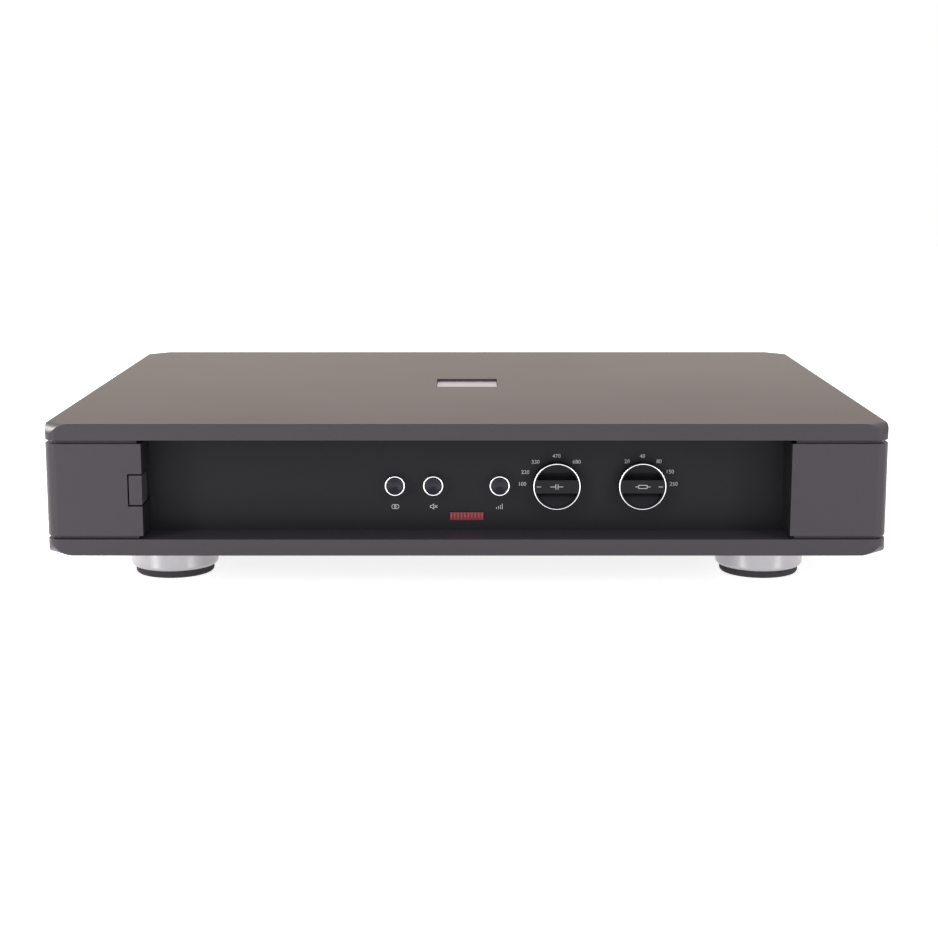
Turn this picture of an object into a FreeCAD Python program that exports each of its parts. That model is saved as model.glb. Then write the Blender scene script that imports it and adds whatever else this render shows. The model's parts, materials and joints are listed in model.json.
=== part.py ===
import FreeCAD, Part
import math
import os
import types

import Sketcher
from FreeCAD import Placement, Rotation, Vector

# A full-width phono preamplifier, in millimetres.
# The origin is on the surface it stands on, under the middle of the case.
# +X is to the right seen from the front, +Y is towards the rear and +Z is up.

SIZES = {
    # Case
    "case_width": 432.0,
    "case_depth": 325.0,
    "foot_height": 20.0,
    "plate_edge": 8.5,
    "seam_gap": 1.8,
    "seam_depth": 2.5,
    "cheek_height": 47.9,
    "corner_radius": 7.0,
    "edge_radius": 1.2,
    "corner_round": 7.0,
    "corner_play": 0.04,
    "skin": 4.0,
    "side_rim": 16.0,
    "front_rim": 34.0,
    "rear_rim": 24.0,
    "side_wall": 10.0,
    "cheek_width": 50.0,
    "cheek_front": 6.0,
    "cheek_return": 5.0,
    "panel_recess": 24.0,
    "panel_thickness": 4.0,
    "panel_overlap": 1.0,
    "rear_recess": 16.0,
    "rear_thickness": 2.0,
    "rear_tongue": 2.0,
    # Lid window
    "window_width": 36.0,
    "window_step": 1.4,
    "inset_play": 0.1,
    "inset_flange": 5.0,
    "inset_thickness": 2.0,
    # Long screws that tie base, cheeks and lid together
    "tie_radius": 2.0,
    "tie_head_radius": 3.5,
    "tie_head_height": 3.6,
    "tie_head_sink": 0.4,
    "tie_thread": 5.5,
    "tie_boss_radius": 5.5,
    "tie_pitch": 110.0,
    "screw_clearance": 0.3,
    # Feet
    "foot_inset_x": 57.3,
    "foot_inset_y": 53.5,
    "foot_top_radius": 24.5,
    "foot_waist_radius": 23.3,
    "foot_waist_height": 4.6,
    "foot_round": 2.4,
    "pad_height": 4.0,
    "pad_radius": 20.9,
    "pad_round": 1.8,
    "pad_spigot_radius": 9.0,
    "pad_spigot_height": 3.0,
    "foot_screw_radius": 3.0,
    "foot_screw_head_radius": 5.0,
    "foot_screw_head_height": 4.0,
    "foot_boss_radius": 8.0,
    "foot_boss_height": 4.0,
    # Power button and its switch
    "power_rise": 1.4,
    "power_width": 7.4,
    "power_height": 16.8,
    "power_depth": 14.5,
    "power_gap": 0.7,
    "power_travel": 2.5,
    "power_shoulder": 12.0,
    "power_stem_radius": 2.0,
    "power_stem_length": 5.0,
    "power_switch_width": 14.0,
    "power_switch_depth": 22.0,
    "power_shelf": 4.0,
    # Front controls
    "control_height": 32.8,
    "button_hole_radius": 5.0,
    "bezel_radius": 5.3,
    "bezel_bore": 4.5,
    "bezel_proud": 5.0,
    "bezel_tail": 1.5,
    "bezel_play": 0.1,
    "cap_radius": 4.3,
    "cap_sink": 0.5,
    "cap_length": 11.0,
    "cap_crown": 0.5,
    "button_stem_radius": 1.5,
    "button_stem_length": 6.0,
    "button_travel": 1.5,
    "button_spacing": 20.0,
    "left_button_x": -37.5,
    "gain_button_x": 17.2,
    "knob_radius": 12.3,
    "knob_proud": 7.0,
    "knob_gap": 0.5,
    "knob_bar": 7.0,
    "knob_scoop": 4.2,
    "knob_lip": 0.6,
    "ring_radius": 12.4,
    "ring_width": 0.75,
    "ring_depth": 1.2,
    "left_knob_x": 47.0,
    "right_knob_x": 91.7,
    "shaft_radius": 3.0,
    "shaft_play": 0.05,
    "shaft_seat": 4.0,
    "shaft_hole_radius": 3.8,
    "rotary_width": 27.0,
    "rotary_depth": 15.0,
    "rotary_seat": 9.0,
    "pilot_width": 18.0,
    "pilot_height": 4.6,
    "pilot_level": 15.9,
    "pilot_proud": 0.5,
    "pilot_clearance": 0.1,
    "pilot_guide_step": 0.7,
    # Boards
    "board_thickness": 1.6,
    "board_lift": 8.0,
    "control_board_set": 22.5,
    "control_board_width": 176.0,
    "control_board_centre": 30.0,
    "control_board_low": 6.0,
    "control_board_tall": 42.0,
    "bracket_thickness": 1.5,
    "bracket_spacer": 4.0,
    "bracket_flange": 12.0,
    "bracket_top_gap": 8.0,
    "main_board_width": 216.0,
    "main_board_depth": 186.0,
    "main_board_rear_gap": 14.5,
    "supply_board_width": 112.0,
    "supply_board_depth": 96.0,
    "supply_board_rear_gap": 41.5,
    "board_wall_gap": 18.0,
    "board_hole_inset": 6.0,
    "spacer_radius": 3.2,
    "machine_screw_radius": 1.5,
    "machine_head_radius": 2.8,
    "machine_head_height": 1.8,
    "machine_head_round": 0.8,
    "machine_socket_radius": 0.8,
    "machine_screw_length": 6.0,
    # Transformer
    "toroid_wall_gap": 38.0,
    "toroid_y": -58.0,
    "toroid_radius": 45.0,
    "toroid_bore": 14.0,
    "toroid_height": 38.0,
    "toroid_round": 8.0,
    "toroid_pad": 1.5,
    "toroid_dish": 2.0,
    "toroid_bolt_radius": 3.0,
    "toroid_head_radius": 5.4,
    "toroid_head_height": 3.6,
    # Board parts
    "can_radius": 11.0,
    "can_height": 35.0,
    "can_pitch": 26.0,
    "can_inset": 24.2,
    "film_width": 18.0,
    "film_depth": 8.0,
    "film_height": 13.0,
    "film_row_pitch": 24.0,
    "film_pitch": 33.6,
    "relay_width": 20.0,
    "relay_depth": 10.0,
    "relay_height": 11.0,
    "relay_pitch": 36.0,
    "relay_inset": 20.0,
    "small_can_radius": 4.0,
    "small_can_height": 11.0,
    "small_can_pitch": 28.8,
    "small_can_row": 48.0,
    "sink_width": 40.0,
    "sink_pitch": 49.6,
    "sink_height": 30.0,
    "sink_base": 3.0,
    "sink_fin": 1.2,
    "sink_fin_depth": 9.0,
    "lead_radius": 1.3,
    "lead_bend": 6.0,
    "lead_stagger": 3.0,
    "lead_seat": 0.3,
    "ribbon_width": 24.0,
    "ribbon_thickness": 1.0,
    "ribbon_bend": 5.0,
    "ribbon_side_inset": 24.0,
    "ribbon_landing": 5.0,
    # Rear sockets
    "socket_level": 34.25,
    "xlr_pitch": 32.0,
    "xlr_input_wall_gap": 50.0,
    "xlr_output_step": 168.0,
    "xlr_width": 26.0,
    "xlr_height": 31.0,
    "xlr_plate": 2.5,
    "xlr_shell": 11.8,
    "xlr_body": 20.0,
    "xlr_bore": 9.6,
    "xlr_bore_depth": 13.0,
    "xlr_insert": 8.0,
    "xlr_pin": 1.2,
    "xlr_contact": 1.3,
    "xlr_pin_circle": 4.2,
    "xlr_screw_x": 9.5,
    "xlr_screw_z": 12.0,
    "latch_width": 8.0,
    "latch_height": 3.2,
    "latch_proud": 2.0,
    "latch_travel": 1.5,
    "latch_gap": 0.25,
    "rca_pitch": 18.0,
    "rca_input_step": 53.0,
    "rca_output_step": 115.0,
    "rca_barrel": 4.15,
    "rca_length": 9.5,
    "rca_flange": 6.5,
    "rca_flange_depth": 1.5,
    "rca_tail": 12.0,
    "rca_recess": 3.4,
    "rca_pin_hole": 1.6,
    "ground_step": 80.0,
    "stud_radius": 2.0,
    "stud_play": 0.06,
    "stud_length": 13.5,
    "stud_flange": 4.5,
    "washer_radius": 4.2,
    "washer_thickness": 0.8,
    "nut_radius": 5.5,
    "nut_length": 6.5,
    "nut_gap": 0.05,
    "inlet_wall_gap": 56.0,
    "inlet_width": 31.0,
    "inlet_height": 37.0,
    "inlet_plate": 2.5,
    "inlet_body_width": 27.0,
    "inlet_body_height": 33.0,
    "inlet_body_depth": 30.0,
    "inlet_cavity_width": 24.2,
    "inlet_cavity_height": 16.4,
    "inlet_cavity_depth": 13.0,
    "inlet_cavity_rise": 5.4,
    "inlet_pin_length": 10.0,
    "inlet_pin_width": 2.0,
    "inlet_pin_height": 4.0,
    "inlet_pin_spread": 7.0,
    "inlet_line_drop": 1.0,
    "inlet_earth_rise": 3.0,
    "drawer_width": 23.6,
    "drawer_height": 7.2,
    "drawer_depth": 27.0,
    "drawer_drop": 10.6,
    "drawer_gap": 0.2,
    "drawer_grip": 0.8,
    "fuse_inset": 1.6,
    "fuse_radius": 2.5,
    "fuse_length": 20.0,
}

document = FreeCAD.newDocument("PhonoPreamp")
sheet = document.addObject("Spreadsheet::Sheet", "Sizes")
for row, (name, number) in enumerate(SIZES.items(), start=1):
    sheet.set(f"A{row}", name)
    sheet.set(f"B{row}", str(number))
    sheet.setAlias(f"B{row}", name)
document.recompute()


class Measure:
    """A length that carries its number and the formula that ties it to the sheet."""

    def __init__(self, number, formula):
        self.number = number
        self.formula = formula

    def __add__(self, other):
        other = as_measure(other)
        return Measure(self.number + other.number, f"({self.formula} + {other.formula})")

    def __sub__(self, other):
        other = as_measure(other)
        return Measure(self.number - other.number, f"({self.formula} - {other.formula})")

    def __mul__(self, other):
        other = as_measure(other)
        return Measure(self.number * other.number, f"({self.formula} * {other.formula})")

    def __truediv__(self, other):
        other = as_measure(other)
        return Measure(self.number / other.number, f"({self.formula} / {other.formula})")

    def __neg__(self):
        return Measure(-self.number, f"(0 - {self.formula})")

    def __rsub__(self, other):
        return as_measure(other) - self

    __radd__ = __add__
    __rmul__ = __mul__


def as_measure(value):
    if isinstance(value, Measure):
        return value
    return Measure(float(value), f"({float(value)})")


size = types.SimpleNamespace(**{name: Measure(getattr(sheet, name), f"Sizes.{name}") for name in SIZES})

# Levels and planes that several pieces share
case_low = size.foot_height
base_top = case_low + size.plate_edge
floor_top = case_low + size.skin
cheek_low = base_top + size.seam_gap
cheek_high = cheek_low + size.cheek_height
lid_low = cheek_high + size.seam_gap
lid_high = lid_low + size.plate_edge
lid_ceiling = lid_high - size.skin
right_face = size.case_width / 2
front_face = -size.case_depth / 2
rear_face = size.case_depth / 2
inner_side = right_face - size.side_wall
cheek_inner = right_face - size.cheek_width
panel_front = front_face + size.panel_recess
panel_back = panel_front + size.panel_thickness
rear_panel_face = rear_face - size.rear_recess
rear_panel_inner = rear_panel_face - size.rear_thickness
control_level = case_low + size.control_height
power_level = control_level + size.power_rise
socket_level = case_low + size.socket_level
board_top = floor_top + size.board_lift + size.board_thickness
board_under = floor_top + size.board_lift
control_board_front = panel_back + size.control_board_set
control_board_back = control_board_front + size.board_thickness
foot_x = right_face - size.foot_inset_x
foot_y = rear_face - size.foot_inset_y
main_board_right = inner_side - size.board_wall_gap
main_board_rear = rear_panel_inner - size.main_board_rear_gap
main_board_front = main_board_rear - size.main_board_depth
main_board_x = main_board_right - size.main_board_width / 2
main_board_y = main_board_rear - size.main_board_depth / 2
supply_board_x = -(inner_side - size.board_wall_gap - size.supply_board_width / 2)
supply_board_y = rear_panel_inner - size.supply_board_rear_gap - size.supply_board_depth / 2
toroid_x = -(inner_side - size.toroid_wall_gap - size.toroid_radius)
xlr_input_x = inner_side - size.xlr_input_wall_gap
rca_input_x = xlr_input_x - size.rca_input_step
ground_x = xlr_input_x - size.ground_step
rca_output_x = xlr_input_x - size.rca_output_step
xlr_output_x = xlr_input_x - size.xlr_output_step
inlet_x = -(inner_side - size.inlet_wall_gap)

BUTTONS = {
    "mono_button": size.left_button_x,
    "mute_button": size.left_button_x + size.button_spacing,
    "gain_button": size.gain_button_x,
}
KNOBS = {"left": size.left_knob_x, "right": size.right_knob_x}
FEET = {"front_left": (-1, -1), "front_right": (1, -1), "rear_left": (-1, 1), "rear_right": (1, 1)}
TURN = {
    "up": Rotation(),
    "front": Rotation(Vector(1, 0, 0), 90),
    "back": Rotation(Vector(1, 0, 0), -90),
}
for corner, (side, end) in FEET.items():
    TURN["out_" + corner] = Rotation(Vector(0, 0, 1), math.degrees(math.atan2(end, side)))
    TURN["across_" + corner] = Rotation(Vector(0, 0, 1), Vector(-end, side, 0))
nodes = {}


# Helpers that draw, place and join

def bind(item, prop, value):
    item.setExpression(prop, as_measure(value).formula)


def place(item, x, y, z, facing="up"):
    item.Placement = Placement(Vector(0, 0, 0), TURN[facing])
    bind(item, "Placement.Base.x", x)
    bind(item, "Placement.Base.y", y)
    bind(item, "Placement.Base.z", z)
    return item


def block(name, x, y, z):
    """A box between two limits along each axis."""
    item = document.addObject("Part::Box", name)
    for prop, (low, high) in zip(("Length", "Width", "Height"), (x, y, z)):
        bind(item, prop, high - low)
    return place(item, x[0], y[0], z[0])


def around(centre, width):
    return centre - width / 2, centre + width / 2


def reach(side, near, far):
    """The X limits of a piece on the right (side 1) or its mirror on the left (side -1)."""
    return (near, far) if side > 0 else (-far, -near)


def rod(name, radius, length, x, y, z, facing="up"):
    item = document.addObject("Part::Cylinder", name)
    bind(item, "Radius", radius)
    bind(item, "Height", length)
    return place(item, x, y, z, facing)


def join(name, items):
    item = document.addObject("Part::MultiFuse", name)
    item.Shapes = items
    return item


def keep_common(name, first, second):
    item = document.addObject("Part::Common", name)
    item.Base = first
    item.Tool = second
    return item


def carve(name, base, tools):
    item = document.addObject("Part::Cut", name)
    item.Base = base
    item.Tool = tools[0] if len(tools) == 1 else join(name + "Cutters", tools)
    return item


def gather(name, items):
    """Several separate solids in one node."""
    item = document.addObject("Part::Compound", name)
    item.Links = items
    return item


def node(name, item):
    item.Label = name
    nodes[name] = item


def new_sketch(body, name, plane, offset=0):
    sketch = body.newObject("Sketcher::SketchObject", name)
    support = [feature for feature in body.Origin.OriginFeatures if feature.Role == plane + "_Plane"]
    sketch.AttachmentSupport = [(support[0], "")]
    sketch.MapMode = "FlatFace"
    bind(sketch, "AttachmentOffset.Base.z", offset)
    return sketch


def pin_point(sketch, edge, end, x, y):
    for kind, value in (("DistanceX", as_measure(x)), ("DistanceY", as_measure(y))):
        index = sketch.addConstraint(Sketcher.Constraint(kind, -1, 1, edge, end, value.number))
        sketch.setExpression(f"Constraints[{index}]", value.formula)


def step_towards(start, goal, distance):
    """A point at a distance from start, on the upright or level line to goal."""
    shift_x = goal[0].number - start[0].number
    shift_y = goal[1].number - start[1].number
    if abs(shift_x) > abs(shift_y):
        return start[0] + math.copysign(1, shift_x) * distance, start[1]
    return start[0], start[1] + math.copysign(1, shift_y) * distance


def draw_outline(sketch, corners):
    """A closed outline. A corner is x, y and, where it is rounded, a radius."""
    corners = [tuple(as_measure(value) for value in corner) for corner in corners]
    starts, ends = [], []
    for index, corner in enumerate(corners):
        before, after = corners[index - 1], corners[(index + 1) % len(corners)]
        rounded = len(corner) == 3
        ends.append(step_towards(corner, before, corner[2]) if rounded else corner[:2])
        starts.append(step_towards(corner, after, corner[2]) if rounded else corner[:2])
    lines = []
    for index, start in enumerate(starts):
        end = ends[(index + 1) % len(corners)]
        first = Vector(start[0].number, start[1].number, 0)
        second = Vector(end[0].number, end[1].number, 0)
        lines.append(sketch.addGeometry(Part.LineSegment(first, second), False))
        pin_point(sketch, lines[-1], 1, *start)
    for index, corner in enumerate(corners):
        line_in, line_out = lines[index - 1], lines[index]
        if len(corner) < 3:
            sketch.addConstraint(Sketcher.Constraint("Coincident", line_in, 2, line_out, 1))
            continue
        pin_point(sketch, line_in, 2, *ends[index])
        add_corner_arc(sketch, line_in, line_out, corner, ends[index], starts[index])


def add_corner_arc(sketch, line_in, line_out, corner, end, start):
    entry = Vector(end[0].number, end[1].number, 0)
    exit_point = Vector(start[0].number, start[1].number, 0)
    tip = Vector(corner[0].number, corner[1].number, 0)
    centre = entry + exit_point - tip
    turns_left = (tip - entry).cross(exit_point - tip).z > 0
    first, last = (entry, exit_point) if turns_left else (exit_point, entry)
    angles = [math.atan2(*reversed((point - centre)[:2])) for point in (first, last)]
    circle = Part.Circle(centre, Vector(0, 0, 1), corner[2].number)
    arc = sketch.addGeometry(Part.ArcOfCircle(circle, *angles), False)
    entry_end, exit_end = (1, 2) if turns_left else (2, 1)
    sketch.addConstraint(Sketcher.Constraint("Coincident", line_in, 2, arc, entry_end))
    sketch.addConstraint(Sketcher.Constraint("Coincident", arc, exit_end, line_out, 1))
    index = sketch.addConstraint(Sketcher.Constraint("Radius", arc, corner[2].number))
    sketch.setExpression(f"Constraints[{index}]", corner[2].formula)


def extrude(body, name, plane, at, corners, length, remove=False):
    """Adds or removes a prism that starts in a plane and runs along its positive axis."""
    faces_back = plane == "XZ"
    sketch = new_sketch(body, name + "Sketch", plane, -as_measure(at) if faces_back else at)
    draw_outline(sketch, corners)
    feature = body.newObject("PartDesign::Pocket" if remove else "PartDesign::Pad", name)
    feature.Profile = sketch
    feature.Reversed = faces_back != remove
    bind(feature, "Length", length)
    body.Tip = feature
    return feature


def turned(name, corners, x, y, z, facing="up"):
    """A turned piece: its half profile in radius and height, spun about its axis."""
    body = document.addObject("PartDesign::Body", name)
    sketch = new_sketch(body, name + "Profile", "XZ")
    draw_outline(sketch, corners)
    feature = body.newObject("PartDesign::Revolution", name + "Turning")
    feature.Profile = sketch
    feature.ReferenceAxis = (sketch, ["V_Axis"])
    feature.Angle = 360
    body.Tip = feature
    return place(body, x, y, z, facing)


def rectangle(x, y, radius=None):
    extra = () if radius is None else (radius,)
    spots = ((x[0], y[0]), (x[1], y[0]), (x[1], y[1]), (x[0], y[1]))
    return [spot + extra for spot in spots]


def tie_screw_places():
    return [(side * inner_side, row * size.tie_pitch) for side in (-1, 1) for row in (-1, 0, 1)]


def foot_places():
    return {name: (side * foot_x, end * foot_y) for name, (side, end) in FEET.items()}


# Lid and base: plates rounded at their corners in plan, and at their outer corners up or down as well

def case_plate(name, low, round_upwards):
    high = low + size.plate_edge
    body = document.addObject("PartDesign::Body", name)
    sides = (-right_face, right_face)
    radius = size.edge_radius
    if round_upwards:
        profile = [(sides[0], low), (sides[1], low), (sides[1], high, radius), (sides[0], high, radius)]
    else:
        profile = [(sides[0], low, radius), (sides[1], low, radius), (sides[1], high), (sides[0], high)]
    extrude(body, name + "Section", "XZ", front_face, profile, size.case_depth)
    plan_body = document.addObject("PartDesign::Body", name + "Plan")
    plan = rectangle(sides, (front_face, rear_face), size.corner_radius)
    extrude(plan_body, name + "Outline", "XY", low, plan, size.plate_edge)
    trimmed = keep_common(name + "Trimmed", body, plan_body)
    rise = size.corner_round - size.corner_play
    level = high - rise if round_upwards else low + rise
    cutters = [corner_cutter(name, corner, level, round_upwards) for corner in FEET]
    return carve(name + "Rounded", trimmed, cutters)


def corner_cutter(name, corner, level, upwards):
    """What a plate loses at one corner: a block less a rod that lies across the corner."""
    side, end = FEET[corner]
    radius = size.corner_round
    half_length = 2 * radius
    inset = size.corner_radius - size.corner_play
    slant = half_length * math.sqrt(0.5)
    x = side * (right_face - inset) + end * slant
    y = end * (rear_face - inset) - side * slant
    waste = document.addObject("Part::Box", name + "Waste" + corner)
    bind(waste, "Length", 2 * radius)
    bind(waste, "Width", 2 * half_length)
    bind(waste, "Height", 2 * radius)
    place(waste, x, y, level if upwards else level - 2 * radius, "out_" + corner)
    kept = rod(name + "Kept" + corner, radius, 2 * half_length, x, y, level, "across_" + corner)
    return carve(name + "Cutter" + corner, waste, [kept])


def rim_limits():
    across = (-(right_face - size.side_rim), right_face - size.side_rim)
    along = (front_face + size.front_rim, rear_face - size.rear_rim)
    return across, along


def make_lid():
    across, along = rim_limits()
    tools = [block("LidHollow", across, along, (lid_low, lid_ceiling))]
    window = around(as_measure(0), size.window_width)
    tools.append(block("LidWindow", window, window, (lid_low, lid_high)))
    for count, (x, y) in enumerate(tie_screw_places()):
        tools.append(rod(f"LidThread{count}", size.tie_radius, size.tie_thread, x, y, lid_low))
    node("top_cover", carve("Lid", case_plate("LidPlate", lid_low, True), tools))


def make_inset_plate():
    boss = around(as_measure(0), size.window_width - 2 * size.inset_play)
    flange = around(as_measure(0), size.window_width + 2 * size.inset_flange)
    upper = block("InsetBoss", boss, boss, (lid_ceiling, lid_high - size.window_step))
    lower = block("InsetFlange", flange, flange, (lid_ceiling - size.inset_thickness, lid_ceiling))
    node("lid_inset_plate", join("InsetPlate", [upper, lower]))


def make_base():
    across, along = rim_limits()
    hollow = block("BaseHollow", across, along, (floor_top, base_top))
    tray = carve("BaseTray", case_plate("BasePlate", case_low, False), [hollow])
    bosses, holes = [], []
    for name, (x, y) in foot_places().items():
        bosses.append(rod("Boss" + name, size.foot_boss_radius, size.foot_boss_height, x, y, floor_top))
        depth = size.skin + size.foot_boss_height
        holes.append(rod("Hole" + name, size.foot_screw_radius + size.shaft_play, depth, x, y, case_low))
    for count, (x, y) in enumerate(tie_screw_places()):
        clearance = size.tie_radius + size.screw_clearance
        holes.append(rod(f"BaseHole{count}", clearance, size.plate_edge, x, y, case_low))
        sink = size.tie_head_sink + size.tie_head_height
        wide = size.tie_head_radius + size.screw_clearance
        holes.append(rod(f"BaseSink{count}", wide, sink, x, y, case_low))
    node("base_plate", carve("Base", join("BaseBossed", [tray] + bosses), holes))


def make_tie_screws():
    screws = []
    head_low = case_low + size.tie_head_sink
    for count, (x, y) in enumerate(tie_screw_places()):
        head = rod(f"TieHead{count}", size.tie_head_radius, size.tie_head_height, x, y, head_low)
        shank_low = head_low + size.tie_head_height
        shank_high = lid_low + size.tie_thread
        shank_radius = size.tie_radius - size.shaft_play
        shank = rod(f"TieShank{count}", shank_radius, shank_high - shank_low, x, y, shank_low)
        socket = document.addObject("Part::Prism", f"TieSocket{count}")
        socket.Polygon = 6
        bind(socket, "Circumradius", size.tie_head_radius / 2)
        bind(socket, "Height", size.tie_head_height / 2)
        place(socket, x, y, head_low)
        screws.append(carve(f"TieScrew{count}", join(f"TieBlank{count}", [head, shank]), [socket]))
    node("case_screws", gather("TieScrews", screws))


# Cheeks: an L-shaped side wall, with a thinner web above and below that makes the seams

def cheek_corners(side, inset):
    outer = right_face - inset
    front = front_face + inset
    rear = rear_face - inset
    inner = cheek_inner + inset
    radius = size.corner_radius - inset
    corners = [
        (inner, front),
        (outer, front, radius),
        (outer, rear, radius),
        (inner_side, rear),
        (inner_side, front_face + size.cheek_front),
        (cheek_inner + size.cheek_return, front_face + size.cheek_front),
        (cheek_inner + size.cheek_return, panel_front),
        (inner, panel_front),
    ]
    if side > 0:
        return corners
    return [(-corner[0],) + corner[1:] for corner in reversed(corners)]


def make_cheek(side, name):
    body = document.addObject("PartDesign::Body", name + "_wall")
    extrude(body, name + "Face", "XY", cheek_low, cheek_corners(side, as_measure(0)), size.cheek_height)
    web_height = lid_low - base_top
    extrude(body, name + "Web", "XY", base_top, cheek_corners(side, size.seam_depth), web_height)
    added, tools = [body], []
    for row in (-1, 0, 1):
        x, y = side * inner_side, row * size.tie_pitch
        added.append(rod(f"{name}Boss{row + 1}", size.tie_boss_radius, web_height, x, y, base_top))
        clearance = size.tie_radius + size.screw_clearance
        tools.append(rod(f"{name}Hole{row + 1}", clearance, web_height, x, y, base_top))
    slot_x = reach(side, inner_side, inner_side + size.rear_tongue)
    slot_y = (rear_panel_inner, rear_panel_face)
    tools.append(block(name + "RearSlot", slot_x, slot_y, (base_top, lid_low)))
    if side < 0:
        added.append(power_shelf())
        tools.append(power_notch())
    node(name, carve(name + "_cut", join(name + "_sum", added), tools))


# Power button in the inner edge of the left cheek

power_low = power_level - size.power_height / 2
power_high = power_level + size.power_height / 2
power_back = front_face + size.power_depth
power_stem_x = -(cheek_inner + size.power_width + size.power_shoulder / 2)
power_stem_end = power_back + size.power_stem_length
power_switch_front = power_stem_end + size.power_travel + size.power_gap


def power_notch():
    across = (-(cheek_inner + size.power_width), -(cheek_inner - size.seam_depth))
    return block("PowerNotch", across, (front_face, panel_front), (power_low, power_high))


def power_shelf():
    across = (-inner_side, power_stem_x + size.power_switch_width / 2)
    along = (power_switch_front, power_switch_front + size.power_switch_depth)
    high = power_level - size.power_switch_width / 2
    return block("PowerShelf", across, along, (high - size.power_shelf, high))


def make_power_button():
    gap = size.power_gap
    across = (-(cheek_inner + size.power_width - gap), -cheek_inner)
    key = block("PowerKey", across, (front_face, power_back), (power_low + gap, power_high - gap))
    shoulder_x = (-(cheek_inner + size.power_width + size.power_shoulder), across[0])
    shoulder_y = (front_face + size.cheek_front + gap, power_back)
    shoulder = block("PowerShoulder", shoulder_x, shoulder_y, (power_low + gap, power_high - gap))
    stem = rod("PowerStem", size.power_stem_radius, size.power_stem_length,
               power_stem_x, power_back, power_level, "back")
    node("power_button", join("PowerButton", [key, shoulder, stem]))


def make_power_switch():
    across = around(power_stem_x, size.power_switch_width)
    along = (power_switch_front, power_switch_front + size.power_switch_depth)
    housing = block("PowerHousing", across, along, around(power_level, size.power_switch_width))
    plunger = rod("PowerPlunger", size.power_stem_radius + size.power_gap, size.power_gap / 2,
                  power_stem_x, power_switch_front, power_level, "front")
    node("power_switch", join("PowerSwitch", [housing, plunger]))


# Front panel with its holes

def make_front_panel():
    wide = cheek_inner + size.cheek_return + size.panel_overlap
    plate = block("PanelPlate", (-wide, wide), (panel_front, panel_back), (base_top, lid_low))
    tools = []
    for name, x in BUTTONS.items():
        tools.append(rod("PanelHole" + name, size.button_hole_radius, size.panel_thickness,
                         x, panel_front, control_level, "back"))
    for name, x in KNOBS.items():
        tools.append(rod("PanelHole" + name, size.shaft_hole_radius, size.panel_thickness,
                         x, panel_front, control_level, "back"))
    slot = 2 * size.pilot_clearance
    level = case_low + size.pilot_level
    tools.append(block("PilotSlot", around(as_measure(0), size.pilot_width + slot), (panel_front, panel_back),
                       around(level, size.pilot_height + slot)))
    node("front_panel", carve("FrontPanel", plate, tools))


def make_pilot_lens():
    level = case_low + size.pilot_level
    front = panel_front - size.pilot_proud
    window = block("PilotWindow", around(as_measure(0), size.pilot_width), (front, panel_back),
                   around(level, size.pilot_height))
    guide_end = control_board_front - size.board_thickness - size.screw_clearance
    guide = block("PilotGuide", around(as_measure(0), size.pilot_width - 2 * size.pilot_guide_step),
                  (panel_back, guide_end), around(level, size.pilot_height - 2 * size.pilot_guide_step))
    node("pilot_lens", join("PilotLens", [window, guide]))


# Push buttons: a dished cap on a stem, in a bright bezel

cap_front = panel_front - size.bezel_proud + size.cap_sink
button_stem_end = cap_front + size.cap_length + size.button_stem_length
button_switch_front = button_stem_end + size.button_travel + size.power_gap


def make_buttons():
    for name, x in BUTTONS.items():
        radius = size.cap_radius
        back = -size.cap_length
        stem_end = back - size.button_stem_length
        profile = [
            (0, size.cap_crown),
            (0, stem_end),
            (size.button_stem_radius, stem_end),
            (size.button_stem_radius, back),
            (radius, back),
            (radius, -size.cap_crown),
            (radius - size.cap_crown, 0),
        ]
        node(name, turned(name + "_turned", profile, x, cap_front, control_level, "front"))


def make_button_bezels():
    bezels = []
    front = size.bezel_proud
    back = -(size.panel_thickness + size.bezel_tail)
    neck = size.button_hole_radius - size.bezel_play
    for name, x in BUTTONS.items():
        profile = [
            (size.bezel_bore, back),
            (neck, back),
            (neck, 0),
            (size.bezel_radius, 0),
            (size.bezel_radius, front - size.cap_crown),
            (size.bezel_radius - size.cap_crown / 2, front),
            (size.bezel_bore, front),
        ]
        bezels.append(turned("Bezel" + name, profile, x, panel_front, control_level, "front"))
    node("button_bezels", gather("Bezels", bezels))


def make_button_switches():
    switches = []
    for name, x in BUTTONS.items():
        width = 2 * size.bezel_bore
        along = (button_switch_front, control_board_front)
        switches.append(block("Switch" + name, around(x, width), along, around(control_level, width)))
    node("button_switches", gather("ButtonSwitches", switches))


# Knobs: a disc with a bright ring, scooped above and below a finger bar

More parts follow.
